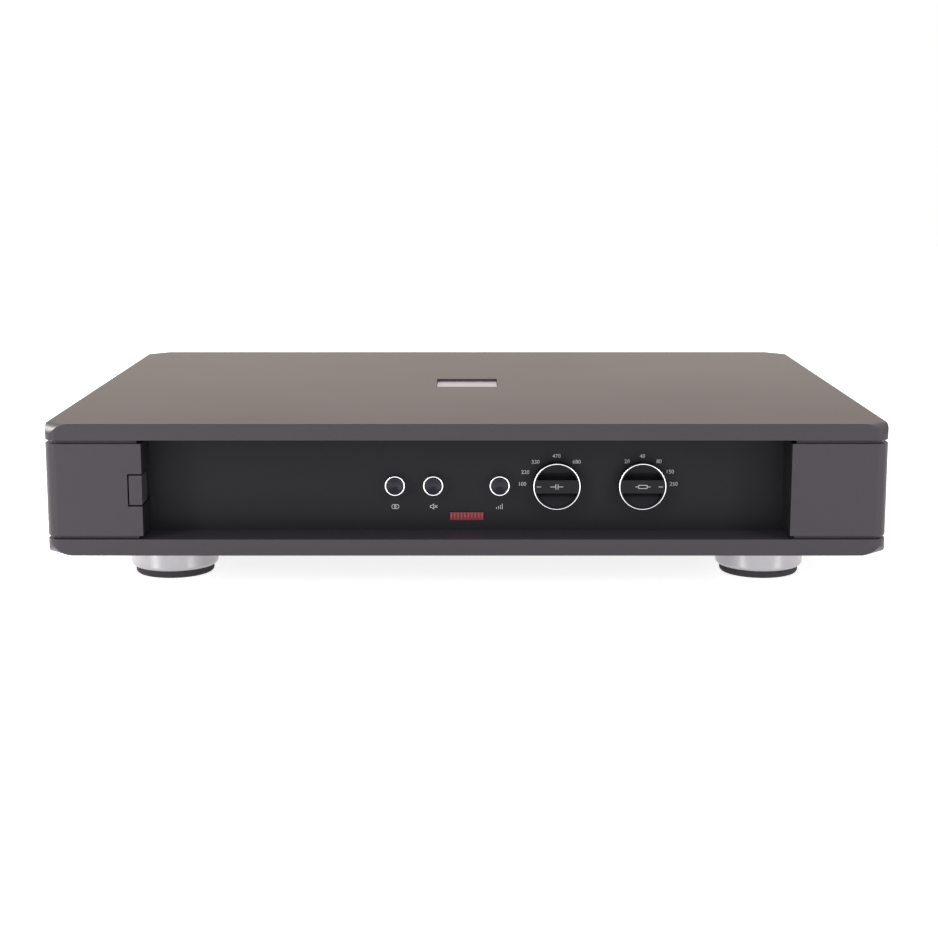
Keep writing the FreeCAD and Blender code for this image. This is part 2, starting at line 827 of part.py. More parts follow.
def make_knobs():
    knob_back = panel_front - size.knob_gap
    knob_front = panel_front - size.knob_proud
    face_radius = size.ring_radius - size.ring_width
    for name, x in KNOBS.items():
        ring_seat = size.ring_depth
        profile = [
            (0, 0),
            (size.knob_radius - size.cap_crown, 0),
            (size.knob_radius, size.cap_crown),
            (size.knob_radius, knob_back - knob_front - ring_seat),
            (face_radius, knob_back - knob_front - ring_seat),
            (face_radius, knob_back - knob_front),
            (0, knob_back - knob_front),
        ]
        disc = turned(f"{name}Disc", profile, x, knob_back, control_level, "front")
        tools = [knob_scoop(name, x, side, knob_front, face_radius) for side in (-1, 1)]
        bore = size.shaft_radius + size.shaft_play
        tools.append(rod(f"{name}Bore", bore, size.shaft_seat, x, knob_back, control_level, "front"))
        node(f"{name}_knob", carve(f"{name}Knob", disc, tools))
        ring_profile = [
            (face_radius, 0),
            (size.ring_radius, 0),
            (size.ring_radius, ring_seat - size.ring_width / 2),
            (size.ring_radius - size.ring_width / 3, ring_seat),
            (face_radius, ring_seat),
        ]
        ring = turned(f"{name}Ring", ring_profile, x, knob_front + ring_seat, control_level, "front")
        node(f"{name}_knob_ring", ring)
        shaft_front = knob_back - size.shaft_seat
        shaft_back = control_board_front - size.rotary_depth + size.rotary_seat
        shaft = rod(f"{name}Shaft", size.shaft_radius, shaft_back - shaft_front,
                    x, shaft_front, control_level, "back")
        node(f"{name}_knob_shaft", shaft)


def knob_scoop(name, x, side, knob_front, face_radius):
    """A wedge that is deepest beside the bar and runs out at the ring, kept inside the rim."""
    body = document.addObject("PartDesign::Body", f"{name}Wedge{side + 1}")
    root = control_level + side * size.knob_bar / 2
    edge = control_level + side * size.knob_radius
    outside = knob_front - size.knob_lip
    corners = [(outside, root), (knob_front + size.knob_scoop, root),
               (knob_front + size.knob_lip, edge), (outside, edge)]
    extrude(body, f"{name}WedgeCut{side + 1}", "YZ", x - size.knob_radius, corners, 2 * size.knob_radius)
    well = rod(f"{name}Well{side + 1}", face_radius - size.knob_lip, 2 * size.knob_scoop,
               x, knob_front - size.knob_scoop, control_level, "back")
    return keep_common(f"{name}Scoop{side + 1}", body, well)


def make_rotary_switches():
    for name, x in KNOBS.items():
        front = control_board_front - size.rotary_depth
        housing = block(f"{name}RotaryBody", around(x, size.rotary_width), (front, control_board_front),
                        around(control_level, size.rotary_width))
        bore = rod(f"{name}RotaryBore", size.shaft_radius + size.shaft_play,
                   size.rotary_seat + size.screw_clearance, x, front, control_level, "back")
        node(f"{name}_rotary_switch", carve(f"{name}Rotary", housing, [bore]))


# Feet: a turned aluminium body over a rubber pad, held by one screw

def make_feet():
    screws = []
    tall = size.foot_height - size.pad_height
    sink = size.pad_spigot_height + size.foot_screw_head_height + size.screw_clearance
    hole = size.foot_screw_radius + size.screw_clearance
    wide = size.pad_spigot_radius + size.shaft_play
    for name, (x, y) in foot_places().items():
        profile = [
            (hole, tall),
            (hole, sink),
            (wide, sink),
            (wide, 0),
            (size.foot_waist_radius, 0, size.foot_round),
            (size.foot_waist_radius, size.foot_waist_height),
            (size.foot_top_radius, tall),
        ]
        node(name + "_foot", turned(name + "Foot", profile, x, y, size.pad_height))
        pad = [
            (0, 0),
            (size.pad_radius, 0, size.pad_round),
            (size.pad_radius, size.pad_height),
            (size.pad_spigot_radius, size.pad_height),
            (size.pad_spigot_radius, size.pad_height + size.pad_spigot_height),
            (0, size.pad_height + size.pad_spigot_height),
        ]
        node(name + "_pad", turned(name + "Pad", pad, x, y, 0))
        head_low = size.pad_height + sink - size.foot_screw_head_height
        head = rod("FootHead" + name, size.foot_screw_head_radius, size.foot_screw_head_height, x, y, head_low)
        shank_low = size.pad_height + sink
        shank_high = floor_top + size.foot_boss_height
        shank = rod("FootShank" + name, size.foot_screw_radius, shank_high - shank_low, x, y, shank_low)
        screws.append(join("FootScrew" + name, [head, shank]))
    node("foot_screws", gather("FootScrews", screws))


# Boards, their spacers and their screws

def board_corners(x, y, width, depth):
    inset = size.board_hole_inset
    return [(x + side * (width / 2 - inset), y + end * (depth / 2 - inset))
            for side in (-1, 1) for end in (-1, 1)]


def all_board_corners():
    main = board_corners(main_board_x, main_board_y, size.main_board_width, size.main_board_depth)
    supply = board_corners(supply_board_x, supply_board_y, size.supply_board_width, size.supply_board_depth)
    return main, supply


def control_board_corners():
    middle = size.control_board_low + size.control_board_tall / 2
    half_height = size.control_board_tall / 2 - size.board_hole_inset
    half_width = size.control_board_width / 2 - size.board_hole_inset
    return [(size.control_board_centre + side * half_width, case_low + middle + end * half_height)
            for side in (-1, 1) for end in (-1, 1)]


def board_with_holes(name, x, y, width, depth, corners):
    plate = block(name + "Blank", around(x, width), around(y, depth), (board_under, board_top))
    hole = size.machine_screw_radius + size.screw_clearance / 2
    tools = [rod(f"{name}Hole{count}", hole, size.board_thickness, spot[0], spot[1], board_under)
             for count, spot in enumerate(corners)]
    return carve(name, plate, tools)


def make_boards():
    main, supply = all_board_corners()
    node("main_board", board_with_holes("MainBoard", main_board_x, main_board_y,
                                        size.main_board_width, size.main_board_depth, main))
    node("supply_board", board_with_holes("SupplyBoard", supply_board_x, supply_board_y,
                                          size.supply_board_width, size.supply_board_depth, supply))
    along = (control_board_front, control_board_back)
    low = case_low + size.control_board_low
    plate = block("ControlBlank", around(size.control_board_centre, size.control_board_width), along,
                  (low, low + size.control_board_tall))
    hole = size.machine_screw_radius + size.screw_clearance / 2
    tools = [rod(f"ControlHole{count}", hole, size.board_thickness, x, control_board_front, z, "back")
             for count, (x, z) in enumerate(control_board_corners())]
    lamp_y = (control_board_front - size.board_thickness, control_board_front)
    lamps = [block(f"Lamp{count + 1}", around(count * size.pilot_width / 3, size.pilot_height), lamp_y,
                   around(case_low + size.pilot_level, size.pilot_height / 2)) for count in (-1, 0, 1)]
    node("control_board", gather("ControlBoard", [carve("ControlPlate", plate, tools)] + lamps))


def make_control_bracket():
    wide = around(size.control_board_centre, size.control_board_width)
    front = control_board_back + size.bracket_spacer
    back = front + size.bracket_thickness
    upright = block("BracketUpright", wide, (front, back), (floor_top, lid_low - size.bracket_top_gap))
    flange = block("BracketFlange", wide, (back, back + size.bracket_flange),
                   (floor_top, floor_top + size.bracket_thickness))
    hole = size.machine_screw_radius + size.screw_clearance / 2
    tools = [rod(f"BracketHole{count}", hole, size.bracket_thickness, x, front, z, "back")
             for count, (x, z) in enumerate(control_board_corners())]
    ribbon_hole = size.ribbon_width + 2 * size.bracket_thickness
    tools.append(block("RibbonWindow", around(ribbon_x, ribbon_hole), (front, back),
                       around(ribbon_level, ribbon_hole / 2)))
    node("control_bracket", carve("Bracket", join("BracketBlank", [upright, flange]), tools))


def make_spacers():
    spacers = []
    hole = size.machine_screw_radius + size.screw_clearance / 2
    main, supply = all_board_corners()
    for count, (x, y) in enumerate(main + supply):
        post = rod(f"Post{count}", size.spacer_radius, size.board_lift, x, y, floor_top)
        bore = rod(f"PostBore{count}", hole, size.board_lift, x, y, floor_top)
        spacers.append(carve(f"Spacer{count}", post, [bore]))
    for count, (x, z) in enumerate(control_board_corners()):
        post = rod(f"Sleeve{count}", size.spacer_radius, size.bracket_spacer, x, control_board_back, z, "back")
        bore = rod(f"SleeveBore{count}", hole, size.bracket_spacer, x, control_board_back, z, "back")
        spacers.append(carve(f"SleeveCut{count}", post, [bore]))
    node("board_spacers", gather("Spacers", spacers))


def machine_screw(name, x, y, z, facing):
    """A pan-head screw. Its seat is at the given point, its head stands the way it faces."""
    head = size.machine_head_height
    radius = size.machine_head_radius
    shank = size.machine_screw_radius
    profile = [
        (0, -size.machine_screw_length),
        (shank, -size.machine_screw_length),
        (shank, 0),
        (radius, 0),
        (radius, head / 2),
        (radius - size.machine_head_round, head),
        (size.machine_socket_radius, head),
        (size.machine_socket_radius, head / 3),
        (0, head / 3),
    ]
    return turned(name, profile, x, y, z, facing)


def make_machine_screws():
    main, supply = all_board_corners()
    screws = [machine_screw(f"BoardScrew{count}", x, y, board_top, "up")
              for count, (x, y) in enumerate(main + supply)]
    screws += [machine_screw(f"ControlScrew{count}", x, control_board_front, z, "front")
               for count, (x, z) in enumerate(control_board_corners())]
    seat = rear_panel_face + size.xlr_plate
    for count, x in enumerate(list(xlr_places("input").values()) + list(xlr_places("output").values())):
        for side in (-1, 1):
            screws.append(machine_screw(f"XlrScrew{count}{side + 1}", x + side * size.xlr_screw_x, seat,
                                        socket_level - side * size.xlr_screw_z, "back"))
    node("m3_screws", gather("MachineScrews", screws))


# Toroidal transformer on its pads, under a dish and a bolt

def make_transformer():
    x, y = toroid_x, size.toroid_y
    low = floor_top + size.toroid_pad
    high = low + size.toroid_height
    radius = size.toroid_round
    profile = [
        (size.toroid_bore, 0, radius),
        (size.toroid_radius, 0, radius),
        (size.toroid_radius, size.toroid_height, radius),
        (size.toroid_bore, size.toroid_height, radius),
    ]
    node("transformer_winding", turned("Winding", profile, x, y, low))
    bolt_hole = size.toroid_bolt_radius
    pad_radius = size.toroid_radius - size.toroid_round
    parts = [rod("LowerPad", pad_radius, size.toroid_pad, x, y, floor_top),
             rod("UpperPad", pad_radius, size.toroid_pad, x, y, high),
             rod("Dish", pad_radius, size.toroid_dish, x, y, high + size.toroid_pad)]
    dish_top = high + size.toroid_pad + size.toroid_dish
    bolt = rod("ToroidBolt", bolt_hole, dish_top - floor_top, x, y, floor_top)
    head = rod("ToroidHead", size.toroid_head_radius, size.toroid_head_height, x, y, dish_top)
    node("transformer_mount", join("ToroidMount", parts + [bolt, head]))


# What stands on the boards

def make_board_parts():
    cans, films, small = [], [], []
    for column in (-1.5, -0.5, 0.5, 1.5):
        x = supply_board_x + column * size.can_pitch
        y = supply_board_y - size.supply_board_depth / 2 + size.can_inset
        cans.append(rod(f"Can{len(cans)}", size.can_radius, size.can_height, x, y, board_top))
    node("reservoir_capacitors", gather("Cans", cans))
    for row in (-1, 0, 1):
        for column in (-2.5, -1.5, -0.5, 0.5, 1.5, 2.5):
            x = main_board_x + column * size.film_pitch
            y = main_board_y + row * size.film_row_pitch
            films.append(block(f"Film{len(films)}", around(x, size.film_width), around(y, size.film_depth),
                               (board_top, board_top + size.film_height)))
    node("film_capacitors", gather("Films", films))
    for column in (-2, -1, 0, 1, 2):
        x = main_board_x + column * size.relay_pitch
        y = main_board_rear - size.relay_inset
        small.append(block(f"Relay{len(small)}", around(x, size.relay_width), around(y, size.relay_depth),
                           (board_top, board_top + size.relay_height)))
    for row in (-1, 1):
        for column in (-3, -2, -1, 0, 1, 2, 3):
            x = main_board_x + column * size.small_can_pitch
            y = main_board_y + row * size.small_can_row - size.film_depth
            small.append(rod(f"SmallCan{len(small)}", size.small_can_radius, size.small_can_height,
                             x, y, board_top))
    node("board_components", gather("BoardParts", small))


SINK_FINS = 5


def make_heatsinks():
    sinks = []
    y = supply_board_y + size.supply_board_depth / 4
    for side in (-1, 1):
        x = supply_board_x + side * size.sink_pitch / 2
        across = around(x, size.sink_width)
        high = board_top + size.sink_height
        pieces = [block(f"SinkBase{side + 1}", across, (y, y + size.sink_base), (board_top, high))]
        for count in range(SINK_FINS):
            start = across[0] + count * (size.sink_width - size.sink_fin) / (SINK_FINS - 1)
            pieces.append(block(f"SinkFin{side + 1}{count}", (start, start + size.sink_fin),
                                (y + size.sink_base, y + size.sink_base + size.sink_fin_depth),
                                (board_top, high)))
        sinks.append(join(f"Sink{side + 1}", pieces))
    node("regulator_heatsinks", gather("Sinks", sinks))


# Rear panel and its sockets

def xlr_places(kind):
    centre = xlr_input_x if kind == "input" else xlr_output_x
    return {"left": centre - size.xlr_pitch / 2, "right": centre + size.xlr_pitch / 2}


def rca_places(kind):
    centre = rca_input_x if kind == "input" else rca_output_x
    return [centre - size.rca_pitch / 2, centre + size.rca_pitch / 2]


latch_low = socket_level + size.xlr_bore + size.latch_gap


def latch_room(name, x, near, far):
    """The space that a latch moves in, with its gap all round."""
    return block(name, around(x, size.latch_width + 2 * size.latch_gap), (near, far),
                 (latch_low - size.latch_gap, latch_low + size.latch_height + size.latch_gap))


def make_rear_panel():
    wide = inner_side + size.rear_tongue
    plate = block("RearPlate", (-wide, wide), (rear_panel_inner, rear_panel_face), (base_top, lid_low))
    tools = []
    panel_hole = [(size.xlr_shell + size.screw_clearance / 2, x) for kind in ("input", "output")
                  for x in xlr_places(kind).values()]
    panel_hole += [(size.rca_barrel + size.screw_clearance / 2, x) for kind in ("input", "output")
                   for x in rca_places(kind)]
    panel_hole.append((size.stud_radius + size.screw_clearance / 2, ground_x))
    for count, (radius, x) in enumerate(panel_hole):
        tools.append(rod(f"RearHole{count}", radius, size.rear_thickness, x, rear_panel_inner,
                         socket_level, "back"))
    screw_hole = size.machine_screw_radius + size.screw_clearance / 2
    for count, x in enumerate(list(xlr_places("input").values()) + list(xlr_places("output").values())):
        for side in (-1, 1):
            tools.append(rod(f"XlrHole{count}{side + 1}", screw_hole, size.rear_thickness,
                             x + side * size.xlr_screw_x, rear_panel_inner,
                             socket_level - side * size.xlr_screw_z, "back"))
    for side, x in xlr_places("input").items():
        tools.append(latch_room("LatchNotch" + side, x, rear_panel_inner, rear_panel_face))
    play = size.screw_clearance
    tools.append(block("InletHole", around(inlet_x, size.inlet_body_width + play),
                       (rear_panel_inner, rear_panel_face),
                       around(socket_level, size.inlet_body_height + play)))
    node("rear_panel", carve("RearPanel", plate, tools))


def xlr_blank(name, x):
    across, upright = around(x, size.xlr_width), around(socket_level, size.xlr_height)
    outer = rear_panel_face + size.xlr_plate
    body = document.addObject("PartDesign::Body", name + "Plate")
    extrude(body, name + "Flange", "XZ", rear_panel_face, rectangle(across, upright, size.xlr_plate),
            size.xlr_plate)
    shell = rod(name + "Shell", size.xlr_shell, size.xlr_body + size.xlr_plate, x,
                outer, socket_level, "front")
    return join(name + "Blank", [body, shell])


def xlr_pin_spots(x):
    angles = {"left": 210, "right": 330, "low": 90}
    return [(x + size.xlr_pin_circle * round(math.cos(math.radians(angle)), 6),
             socket_level - size.xlr_pin_circle * round(math.sin(math.radians(angle)), 6))
            for angle in angles.values()]


def xlr_screw_holes(name, x):
    hole = size.machine_screw_radius + size.screw_clearance / 2
    return [rod(f"{name}Fix{side + 1}", hole, size.xlr_plate, x + side * size.xlr_screw_x,
                rear_panel_face, socket_level - side * size.xlr_screw_z, "back") for side in (-1, 1)]


def make_xlr_outputs():
    outer = rear_panel_face + size.xlr_plate
    for side, x in xlr_places("output").items():
        name = f"XlrOut{side}"
        bore = rod(name + "Bore", size.xlr_bore, size.xlr_bore_depth, x, outer, socket_level, "front")
        shell = carve(name + "Shelled", xlr_blank(name, x), [bore] + xlr_screw_holes(name, x))
        floor = outer - size.xlr_bore_depth
        pins = [rod(f"{name}Pin{count}", size.xlr_pin, size.xlr_bore_depth - size.xlr_pin, px, floor, pz,
                    "back") for count, (px, pz) in enumerate(xlr_pin_spots(x))]
        node(f"{side}_xlr_output", join(name, [shell] + pins))


def make_xlr_inputs():
    outer = rear_panel_face + size.xlr_plate
    for side, x in xlr_places("input").items():
        name = f"XlrIn{side}"
        bore = rod(name + "Bore", size.xlr_bore, size.xlr_bore_depth, x, outer, socket_level, "front")
        holes = [rod(f"{name}Contact{count}", size.xlr_contact, size.xlr_bore_depth, px, outer, pz, "front")
                 for count, (px, pz) in enumerate(xlr_pin_spots(x))]
        slot_depth = size.xlr_plate + size.latch_travel + size.latch_gap * 2
        slot = latch_room(name + "LatchSlot", x, outer - slot_depth, outer)
        shell = carve(name + "Shelled", xlr_blank(name, x), [bore, slot] + xlr_screw_holes(name, x))
        insert = rod(name + "Insert", size.xlr_insert, size.xlr_bore_depth - size.latch_gap, x,
                     outer - size.xlr_bore_depth, socket_level, "back")
        node(f"{side}_xlr_input", join(name, [shell, carve(name + "Drilled", insert, holes)]))
        latch_back = outer - size.xlr_plate
        latch = block(name + "Latch", around(x, size.latch_width), (latch_back, outer + size.latch_proud),
                      (latch_low, latch_low + size.latch_height))
        node(f"{side}_xlr_latch", latch)


def make_rca_sockets():
    for kind in ("input", "output"):
        sockets = []
        for count, x in enumerate(rca_places(kind)):
            barrel, flange = size.rca_barrel, size.rca_flange
            front = size.rca_flange_depth + size.rca_length
            nut_high = -size.rear_thickness
            nut_low = nut_high - size.rca_flange_depth
            tail = -(size.rear_thickness + size.rca_tail)
            profile = [
                (size.rca_pin_hole, tail + size.rca_tail / 2),
                (size.rca_pin_hole, front - size.rca_flange_depth),
                (size.rca_recess, front - size.rca_flange_depth),
                (size.rca_recess, front),
                (barrel, front),
                (barrel, size.rca_flange_depth),
                (flange, size.rca_flange_depth),
                (flange, 0),
                (barrel, 0),
                (barrel, nut_high),
                (flange, nut_high),
                (flange, nut_low),
                (size.rca_recess, nut_low),
                (size.rca_recess, tail),
                (0, tail),
                (0, tail + size.rca_tail / 2),
            ]
            sockets.append(turned(f"Rca{kind}{count}", profile, x, rear_panel_face, socket_level, "back"))
        node(f"rca_{kind}s", gather(f"Rca{kind}s", sockets))


def make_ground_post():
    x = ground_x
    flange_top = size.rca_flange_depth
    tail = -(size.rear_thickness + size.rca_flange_depth)
    profile = [
        (0, tail),
        (size.stud_flange, tail),
        (size.stud_flange, -size.rear_thickness),
        (size.stud_radius, -size.rear_thickness),
        (size.stud_radius, 0),
        (size.stud_flange, 0),
        (size.stud_flange, flange_top),
        (size.stud_radius, flange_top),
        (size.stud_radius, size.stud_length),
        (0, size.stud_length),
    ]
    node("ground_post", turned("GroundPost", profile, x, rear_panel_face, socket_level, "back"))
    bore = size.stud_radius + size.stud_play
    washer_y = rear_panel_face + flange_top + size.nut_gap
    washer = [(bore, 0), (size.washer_radius, 0), (size.washer_radius, size.washer_thickness),
              (bore, size.washer_thickness)]
    node("ground_washer", turned("GroundWasher", washer, x, washer_y, socket_level, "back"))
    nut_y = washer_y + size.washer_thickness + size.nut_gap
    rim = size.nut_radius
    nut = [
        (bore, 0),
        (size.washer_radius, 0),
        (size.washer_radius, size.nut_length / 6),
        (rim, size.nut_length / 6),
        (rim, size.nut_length - size.cap_crown),
        (rim - size.cap_crown, size.nut_length),
        (bore, size.nut_length),
    ]
    node("ground_nut", turned("GroundNut", nut, x, nut_y, socket_level, "back"))


# Mains inlet with a fuse drawer under the plug's cavity

cavity_level = socket_level + size.inlet_cavity_rise
drawer_level = socket_level - size.drawer_drop
inlet_outer = rear_panel_face + size.inlet_plate


def make_mains_inlet():
    x = inlet_x
    body = document.addObject("PartDesign::Body", "InletPlateBody")
    outline = rectangle(around(x, size.inlet_width), around(socket_level, size.inlet_height), size.inlet_plate)
    extrude(body, "InletPlate", "XZ", rear_panel_face, outline, size.inlet_plate)
    housing = block("InletHousing", around(x, size.inlet_body_width),
                    (rear_panel_face - size.inlet_body_depth, rear_panel_face),
                    around(socket_level, size.inlet_body_height))
    floor = inlet_outer - size.inlet_cavity_depth
    cavity = block("InletCavity", around(x, size.inlet_cavity_width), (floor, inlet_outer),
                   around(cavity_level, size.inlet_cavity_height))
    gap = size.drawer_gap
    channel = block("DrawerChannel", around(x, size.drawer_width + 2 * gap),
                    (inlet_outer - size.drawer_depth - gap, inlet_outer),
                    around(drawer_level, size.drawer_height + 2 * gap))
    shell = carve("InletShell", join("InletBlank", [body, housing]), [cavity, channel])
    pins = []
    spread, drop = size.inlet_pin_spread, size.inlet_line_drop
    for count, (shift, rise) in enumerate(((-spread, -drop), (spread, -drop), (0, size.inlet_earth_rise))):
        pins.append(block(f"InletPin{count}", around(x + shift, size.inlet_pin_width),
                          (floor, floor + size.inlet_pin_length),
                          around(cavity_level + rise, size.inlet_pin_height)))
    node("mains_inlet", join("MainsInlet", [shell] + pins))


def make_fuse_drawer():
    x = inlet_x
    along = (inlet_outer - size.drawer_depth, inlet_outer)
    tray = block("DrawerTray", around(x, size.drawer_width), along, around(drawer_level, size.drawer_height))
    play = size.drawer_gap / 2
    well_low = drawer_level - size.fuse_radius - play
    well_y = (along[0] + size.fuse_inset, along[0] + size.fuse_inset + size.fuse_length + 2 * play)
    well = block("FuseWell", around(x, 2 * (size.fuse_radius + play)), well_y,
                 (well_low, drawer_level + size.drawer_height / 2))
    grip = block("DrawerGrip", around(x, size.drawer_width / 2),
                 (inlet_outer - size.drawer_grip, inlet_outer),
                 (drawer_level + size.drawer_height / 4, drawer_level + size.drawer_height / 2))
    node("fuse_drawer", carve("FuseDrawer", tray, [well, grip]))
    fuse = rod("Fuse", size.fuse_radius, size.fuse_length, x, well_y[0] + play, drawer_level, "back")
    node("mains_fuse", fuse)


# Leads that stay inside the case

ribbon_x = main_board_right - size.main_board_width + size.ribbon_side_inset
ribbon_level = case_low + size.control_board_low + size.control_board_tall / 2


def tube_along(points, radius, bend):
    """A round lead: straight runs joined by tangent arcs."""
    edges, start = [], points[0]
    for before, corner, after in zip(points, points[1:], points[2:]):
        inward = (corner - before).normalize()
        outward = (after - corner).normalize()
        entry, leave = corner - inward * bend, corner + outward * bend
        centre = entry + outward * bend
        middle = centre + (corner - centre).normalize() * bend
        edges.append(Part.LineSegment(start, entry).toShape())
        edges.append(Part.Arc(entry, middle, leave).toShape())
        start = leave
    edges.append(Part.LineSegment(start, points[-1]).toShape())
    path = Part.Wire(edges)
    ring = Part.Wire([Part.makeCircle(radius, points[0], points[1] - points[0])])
    tube = path.makePipeShell([ring], True, False)
    print("lead", round(path.Length, 1), "mm, volume ratio",
          round(tube.Volume / (path.Length * math.pi * radius ** 2), 4))
    return tube


def make_leads():
    leads = []
    bend = size.lead_bend.number
    radius = size.lead_radius.number
    run_x = -(inner_side - size.tie_boss_radius - 2 * size.lead_radius - size.screw_clearance).number
    inlet_back = (rear_panel_face - size.inlet_body_depth).number
    turn_back = inlet_back - 2 * bend
    switch_back = (power_switch_front + size.power_switch_depth).number
    turn_front = switch_back + 2 * bend
    for side in (-1, 1):
        level = control_level.number + side * size.lead_stagger.number
        start_x = (inlet_x + side * size.inlet_body_width / 4).number
        end_x = power_stem_x.number
        spots = [(start_x, inlet_back), (start_x, turn_back), (run_x, turn_back),
                 (run_x, turn_front), (end_x, turn_front), (end_x, switch_back)]
        leads.append(tube_along([Vector(x, y, level) for x, y in spots], radius, bend))
    landing = (supply_board_y - size.supply_board_depth / 2 + size.board_hole_inset / 2).number
    winding_level = (floor_top + size.toroid_pad + size.toroid_height / 2).number
    inner_reach = (size.can_pitch - size.lead_radius).number
    winding_edge = size.toroid_y.number + math.sqrt(size.toroid_radius.number ** 2 - inner_reach ** 2)
    seat = winding_edge + size.lead_seat.number
    for side in (-1, 1):
        x = (toroid_x + side * size.can_pitch).number
        points = [Vector(x, seat, winding_level), Vector(x, landing, winding_level),
                  Vector(x, landing, board_top.number)]
        leads.append(tube_along(points, radius, bend))
    leads.append(ribbon())
    item = document.addObject("Part::Feature", "Leads")
    item.Shape = Part.makeCompound(leads)
    node("internal_leads", item)


def ribbon():
    """The flat ribbon from the control board, through its bracket, down to the main board."""
    start = control_board_back.number
    fall = (main_board_front + size.ribbon_landing).number
    level, low = ribbon_level.number, board_top.number
    thick = size.ribbon_thickness.number
    left = (ribbon_x - size.ribbon_width / 2).number
    half = math.sqrt(0.5)
    bend = size.ribbon_bend.number
    centre = Vector(left, fall - bend, level - bend)
    outer, inner = bend + thick / 2, bend - thick / 2
    up, along = Vector(0, 0, 1), Vector(0, 1, 0)
    first = Vector(left, start, level)
    last = Vector(left, fall, low)
    spots = {
        "a": first + up * thick / 2,
        "b": centre + up * outer,
        "c": centre + along * outer,
        "d": last + along * thick / 2,
        "e": last - along * thick / 2,
        "f": centre + along * inner,
        "g": centre + up * inner,
        "h": first - up * thick / 2,
    }
    edges = [
        Part.LineSegment(spots["a"], spots["b"]).toShape(),
        Part.Arc(spots["b"], centre + (up + along) * half * outer, spots["c"]).toShape(),
        Part.LineSegment(spots["c"], spots["d"]).toShape(),
        Part.LineSegment(spots["d"], spots["e"]).toShape(),
        Part.LineSegment(spots["e"], spots["f"]).toShape(),
        Part.Arc(spots["f"], centre + (up + along) * half * inner, spots["g"]).toShape(),
        Part.LineSegment(spots["g"], spots["h"]).toShape(),
        Part.LineSegment(spots["h"], spots["a"]).toShape(),
    ]
    return Part.Face(Part.Wire(edges)).extrude(Vector(size.ribbon_width.number, 0, 0))


def check_and_write():
    document.recompute()
    broken = [item.Name for item in document.Objects
              if "Invalid" in item.State or "Error" in item.State]
    if broken:
        raise RuntimeError(f"failed objects: {broken}")
    for name, item in nodes.items():
        if item.Shape.isNull() or not item.Shape.isValid() or not item.Shape.Solids:
            raise RuntimeError(f"{name} has no valid solid")
    os.makedirs("parts", exist_ok=True)
    for name, item in nodes.items():
        item.Shape.exportStep(f"parts/{name}.step")
        print(name, len(item.Shape.Solids), "solids,", round(item.Shape.Volume / 1000, 2), "cm3")
    print(len(nodes), "nodes")


make_lid()
make_inset_plate()
make_base()
make_tie_screws()
make_cheek(-1, "left_cheek")
make_cheek(1, "right_cheek")
make_power_button()
make_power_switch()
make_front_panel()
make_pilot_lens()
make_buttons()
make_button_bezels()
make_button_switches()
make_knobs()
make_rotary_switches()
make_feet()
make_boards()
make_control_bracket()
make_spacers()
make_machine_screws()
make_transformer()
make_board_parts()
make_heatsinks()
make_rear_panel()
make_xlr_outputs()
make_xlr_inputs()
make_rca_sockets()
make_ground_post()
make_mains_inlet()
make_fuse_drawer()
make_leads()
check_and_write()
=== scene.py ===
# %% [markdown]
# A full-width phono preamplifier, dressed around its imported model.
# The model gives every piece at its real size and place, in metres, with +X to the
# right seen from the front, +Y to the rear and +Z up. This file gives it its looks.

# %% Load the frame
import json
import math

import bmesh
import bpy
from mathutils import Matrix, Vector


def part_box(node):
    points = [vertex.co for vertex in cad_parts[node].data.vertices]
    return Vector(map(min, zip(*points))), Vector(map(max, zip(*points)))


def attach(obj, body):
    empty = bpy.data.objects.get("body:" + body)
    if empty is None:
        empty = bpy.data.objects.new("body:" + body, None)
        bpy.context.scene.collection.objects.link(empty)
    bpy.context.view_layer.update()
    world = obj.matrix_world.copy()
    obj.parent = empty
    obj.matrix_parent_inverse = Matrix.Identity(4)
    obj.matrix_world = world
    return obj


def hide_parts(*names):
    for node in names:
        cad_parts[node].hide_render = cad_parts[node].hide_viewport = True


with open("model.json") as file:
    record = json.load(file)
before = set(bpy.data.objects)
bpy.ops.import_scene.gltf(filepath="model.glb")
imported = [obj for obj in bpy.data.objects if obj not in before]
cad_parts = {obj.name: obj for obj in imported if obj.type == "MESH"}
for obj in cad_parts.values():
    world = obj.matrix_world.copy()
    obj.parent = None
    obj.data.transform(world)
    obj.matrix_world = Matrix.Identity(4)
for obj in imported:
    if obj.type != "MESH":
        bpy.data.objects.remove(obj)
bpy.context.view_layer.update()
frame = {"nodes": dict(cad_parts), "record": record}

MM = 0.001
scene = bpy.context.scene

# %% [markdown]
# The camera comes first. The sides of the lid run together at one point of the
# photograph, which gives the lens and how far it looks down. The camera then stands
# that far from the front face and above the lid.

# %% Camera
PHOTO_SIDE = 938
FOCAL_PIXELS = 1822
LOOK_DOWN = 10.13
CAMERA_SIDE = 1.2 * MM
CAMERA_DISTANCE = 915 * MM
CAMERA_ABOVE_LID = 140.3 * MM

case_low, case_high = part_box("top_cover")
camera_data = bpy.data.cameras.new("camera")
camera_data.sensor_width = 36
camera_data.lens = camera_data.sensor_width * FOCAL_PIXELS / PHOTO_SIDE
camera = bpy.data.objects.new("camera", camera_data)
camera.location = (CAMERA_SIDE, case_low.y - CAMERA_DISTANCE, case_high.z + CAMERA_ABOVE_LID)
camera.rotation_euler = (math.radians(90 - LOOK_DOWN), 0, 0)
scene.collection.objects.link(camera)
scene.camera = camera
scene.view_settings.view_transform = "Standard"
print("lens:", round(camera_data.lens, 1), "mm")

# %% [markdown]
# A product table is a white floor with a white world behind it. The lens sees them as
# plain white through the Light Path node, while the light that falls on the object stays
# at a plain level. Gloss and glass see the world as bright as the lens does, but with a
# slight tint, warmer behind the case, which colours what skims over the lid.

